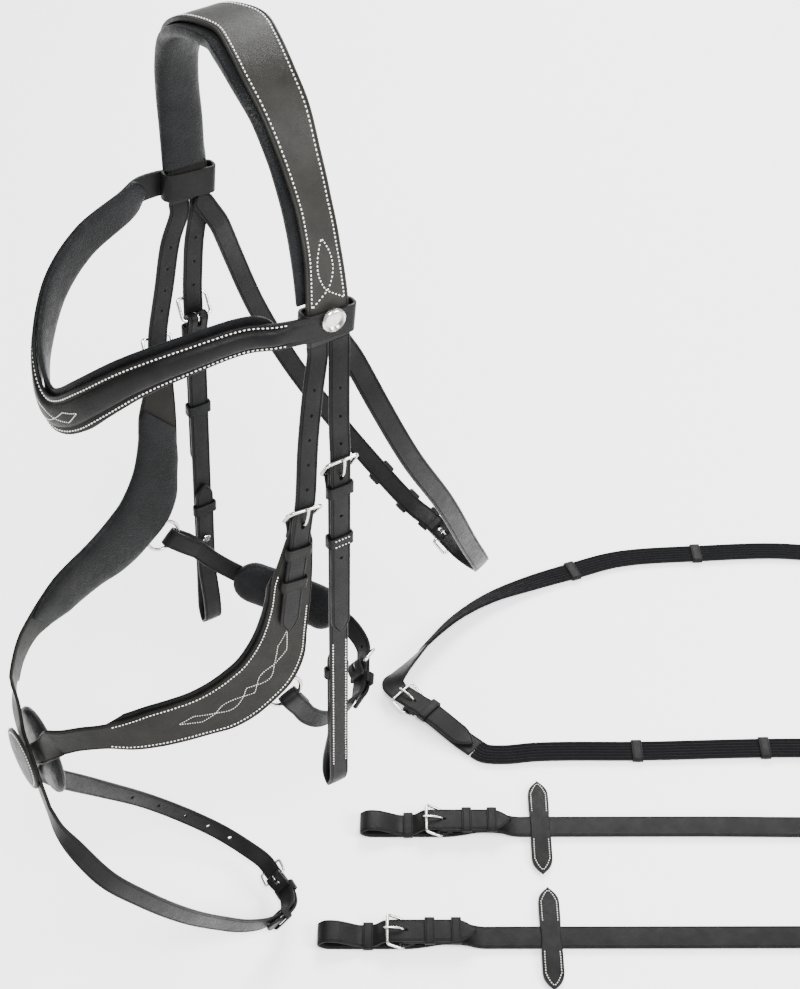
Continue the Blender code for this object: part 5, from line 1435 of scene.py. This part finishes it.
FIRST_SEAT = rein_seat(108.8, -58.5)
SECOND_SEAT = rein_seat(76.6, 49.0)
first_turn = [(545.3, -78.8), (535, -73), (505, -62), (464, -58.2), (330, -58.5)]
second_turn = [(560, 49), (500, 49), (400, 49), (300, 49)]
first_path = rein("first_rein", FIRST_SEAT, first_turn, 88.0)
second_path = rein("second_rein", SECOND_SEAT, second_turn, 120.0)


# The web grips, joined at the middle by a buckle.

WEB_THICK = 3.0 * MM
CENTRE_ALONG = unit(0.76 * REIN_ALONG + 0.65 * REIN_ASIDE)
CENTRE_SEAT = Seat(ground_points([(87.4, -192)])[0] - ROOT_N * UP, CENTRE_ALONG, UP)
WEB_RISE = (WEB_THICK - STRAP_THICK) / 2


def web(name, rows, tilts, stops):
    """A web grip lying on the ground, with small leather stops sewn round it."""
    points = ground_points(rows, WEB_RISE)
    across = level(points)
    for index, degrees in tilts:
        lean = math.radians(degrees)
        across[index] = math.cos(lean) * across[index] + math.sin(lean) * UP
    path = route(points, across, 10)
    strap(name, path, REIN_WIDTH - 0.6 * MM, WEB_THICK, kind="web", section=ribbed_section)
    bands = []
    for along, aside in stops:
        seat = seat_on(path, nearest(path, ground_points([(along, aside)], WEB_RISE)[0]))
        inner = WEB_THICK / 2 + 0.1 * MM
        bands.append(band_body(seat, REIN_WIDTH / 2, -inner, inner, 9 * MM, 1.1 * MM, 0.7 * MM))
    settle(raw_object(name + "_stops", bands), BODY_OF[name], "leather")
    return path


FIRST_WEB_ROWS = [(545.6, -78.97), (556, -85.2), (604.7, -138), (626.5, -219.5), (604.7, -300.8),
                  (545.3, -360), (464, -382), (366, -380), (291, -372.7), (245.6, -356.7), (202, -339, 0.5),
                  (165, -319, 2.5), (134, -293, 4.5), (113, -267, 6.5), (102.4, -252.2, 7.2)]
FIRST_WEB_TILTS = [(10, 8), (11, 25), (12, 42), (13, 55), (14, 60)]
SECOND_WEB_ROWS = [(147.1, -140.9), (154, -136.2), (172, -134.8), (196, -137.5), (224, -138.5), (286, -138.5),
                   (397, -141.5), (480, -141.5), (556, -141.5, 0.2), (580, -141, 3.8), (602, -139.5, 5.0),
                   (622, -134, 3.8), (643, -123, 0.2), (672, -92), (684, -46.5), (670, 2), (630, 37),
                   (590, 48.5), (560.35, 49)]
first_web = web("first_rein_web", FIRST_WEB_ROWS, FIRST_WEB_TILTS, [(366, -380), (245.6, -356.7)])
second_web = web("second_rein_web", SECOND_WEB_ROWS, [], [(286, -138.5), (397, -141.5)])

centre_rows = [(CHAPE_START, CHAPE_N), (20 * MM, CHAPE_N), (34 * MM, CHAPE_N - 1.2 * MM),
               (50 * MM, CHAPE_N - 4.4 * MM), (64 * MM, ROOT_N + 0.9 * MM), (77.5 * MM, ROOT_N + WEB_RISE)]
centre_base = path_in(CENTRE_SEAT, centre_rows)
buckled_strap("centre_chape", CENTRE_SEAT, centre_base, 9 * MM, [12 * MM], REIN_WIDTH)
centre_lead = ground_points([(101.9, -251.4, 7.2), (91, -235, 8.6), (80.5, -219.5, 9.6),
                             (74.5, -208.5, 10.1)])
centre_across = []
for degrees, w in zip((60, 50, 35, 15), level(centre_lead)):
    lean = math.radians(degrees)
    w = math.cos(lean) * w + math.sin(lean) * UP
    centre_across.append(w if np.dot(w, CENTRE_SEAT.w) > 0 else -w)
centre_over = over_path(centre_lead, CENTRE_SEAT, centre_base, 62 * MM, centre_across)
billet("centre_billet", centre_over, CENTRE_SEAT, [], width=REIN_WIDTH)
buckle_set("centre", CENTRE_SEAT, width=REIN_BUCKLE)


# Free straps: the reins and their web grips; points along the middle of each are worked out and not used.

def cord_line(path, gap=12 * MM):
    """Points along a strap's middle, close enough together to have its length."""
    count = int(path.length / gap) + 1
    return [tuple(float(x) for x in path.at(s)[0]) for s in np.linspace(0.0, path.length, count)]


def declare(path):
    """Work out points along a free strap's middle; they are not used."""
    cord_line(path)


for prefix, path in (("first_rein", first_path), ("second_rein", second_path)):
    declare(path)
declare(first_web)
outward_web = Path(second_web.c[::-1], second_web.w[::-1])
declare(outward_web)


# The floor, the lights and the camera.

FLOOR_Z = GROUND - 0.8 * MM
VIEW_RIGHT = unit((0.539, 0.842, 0.0))
VIEW_UP = np.array([-0.576, 0.369, 0.729])
VIEW_UP = unit(VIEW_UP - np.dot(VIEW_UP, VIEW_RIGHT) * VIEW_RIGHT)
VIEW_BACK = np.cross(VIEW_RIGHT, VIEW_UP)
VIEW_TARGET = vec(-74.7, 143.3, -457.3)
VIEW_DISTANCE = 1.38
PHOTO_HEIGHT = 989
FOCAL_PIXELS = 1832

floor_data = bpy.data.meshes.new("floor")
floor_data.from_pydata([(x, y, FLOOR_Z) for x, y in ((-6, -6), (6, -6), (6, 6), (-6, 6))], [], [(0, 1, 2, 3)])
floor = new_object("floor", floor_data)
pale = Finish("pale_floor", (0.9, 0.9, 0.9), 0.85)
pale.surface({"Specular IOR Level": 0.1, "Emission Color": (1.0, 1.0, 1.0, 1.0), "Emission Strength": 0.6})
floor_data.materials.append(pale.mat)

world = bpy.data.worlds.new("studio")
world.use_nodes = True
world.node_tree.nodes["Background"].inputs["Color"].default_value = (1.0, 1.0, 1.0, 1.0)
world.node_tree.nodes["Background"].inputs["Strength"].default_value = 1.0
bpy.context.scene.world = world


def placed(obj, right, up, back, place):
    """Put a lamp or the camera at a place; it looks away from back."""
    rows = [[right[i], up[i], back[i], place[i]] for i in range(3)]
    obj.matrix_world = Matrix(rows + [[0.0, 0.0, 0.0, 1.0]])


def soft_light(name, place, aim, size, power):
    """A square lamp at a place, aimed at a point."""
    data = bpy.data.lights.new(name, "AREA")
    data.shape = "SQUARE"
    data.size = size
    data.energy = power
    back = unit(np.array(place) - np.array(aim))
    right = unit(np.cross(UP, back))
    placed(new_object(name, data), right, np.cross(back, right), back, place)


soft_light("key", (1.7, -0.6, 2.0), (0.0, 0.0, -0.35), 0.8, 170)
soft_light("rim", (-1.5, 1.6, 1.3), (0.0, 0.1, -0.35), 1.4, 150)
soft_light("side", (1.7, 1.2, 0.8), (0.0, 0.0, -0.2), 0.9, 90)

camera_data = bpy.data.cameras.new("camera")
camera_data.sensor_fit = "VERTICAL"
camera_data.sensor_height = 24.0
camera_data.lens = FOCAL_PIXELS / PHOTO_HEIGHT * camera_data.sensor_height
camera_data.clip_end = 50.0
camera = new_object("camera", camera_data)
placed(camera, VIEW_RIGHT, VIEW_UP, VIEW_BACK, VIEW_TARGET + VIEW_DISTANCE * VIEW_BACK)
bpy.context.scene.camera = camera
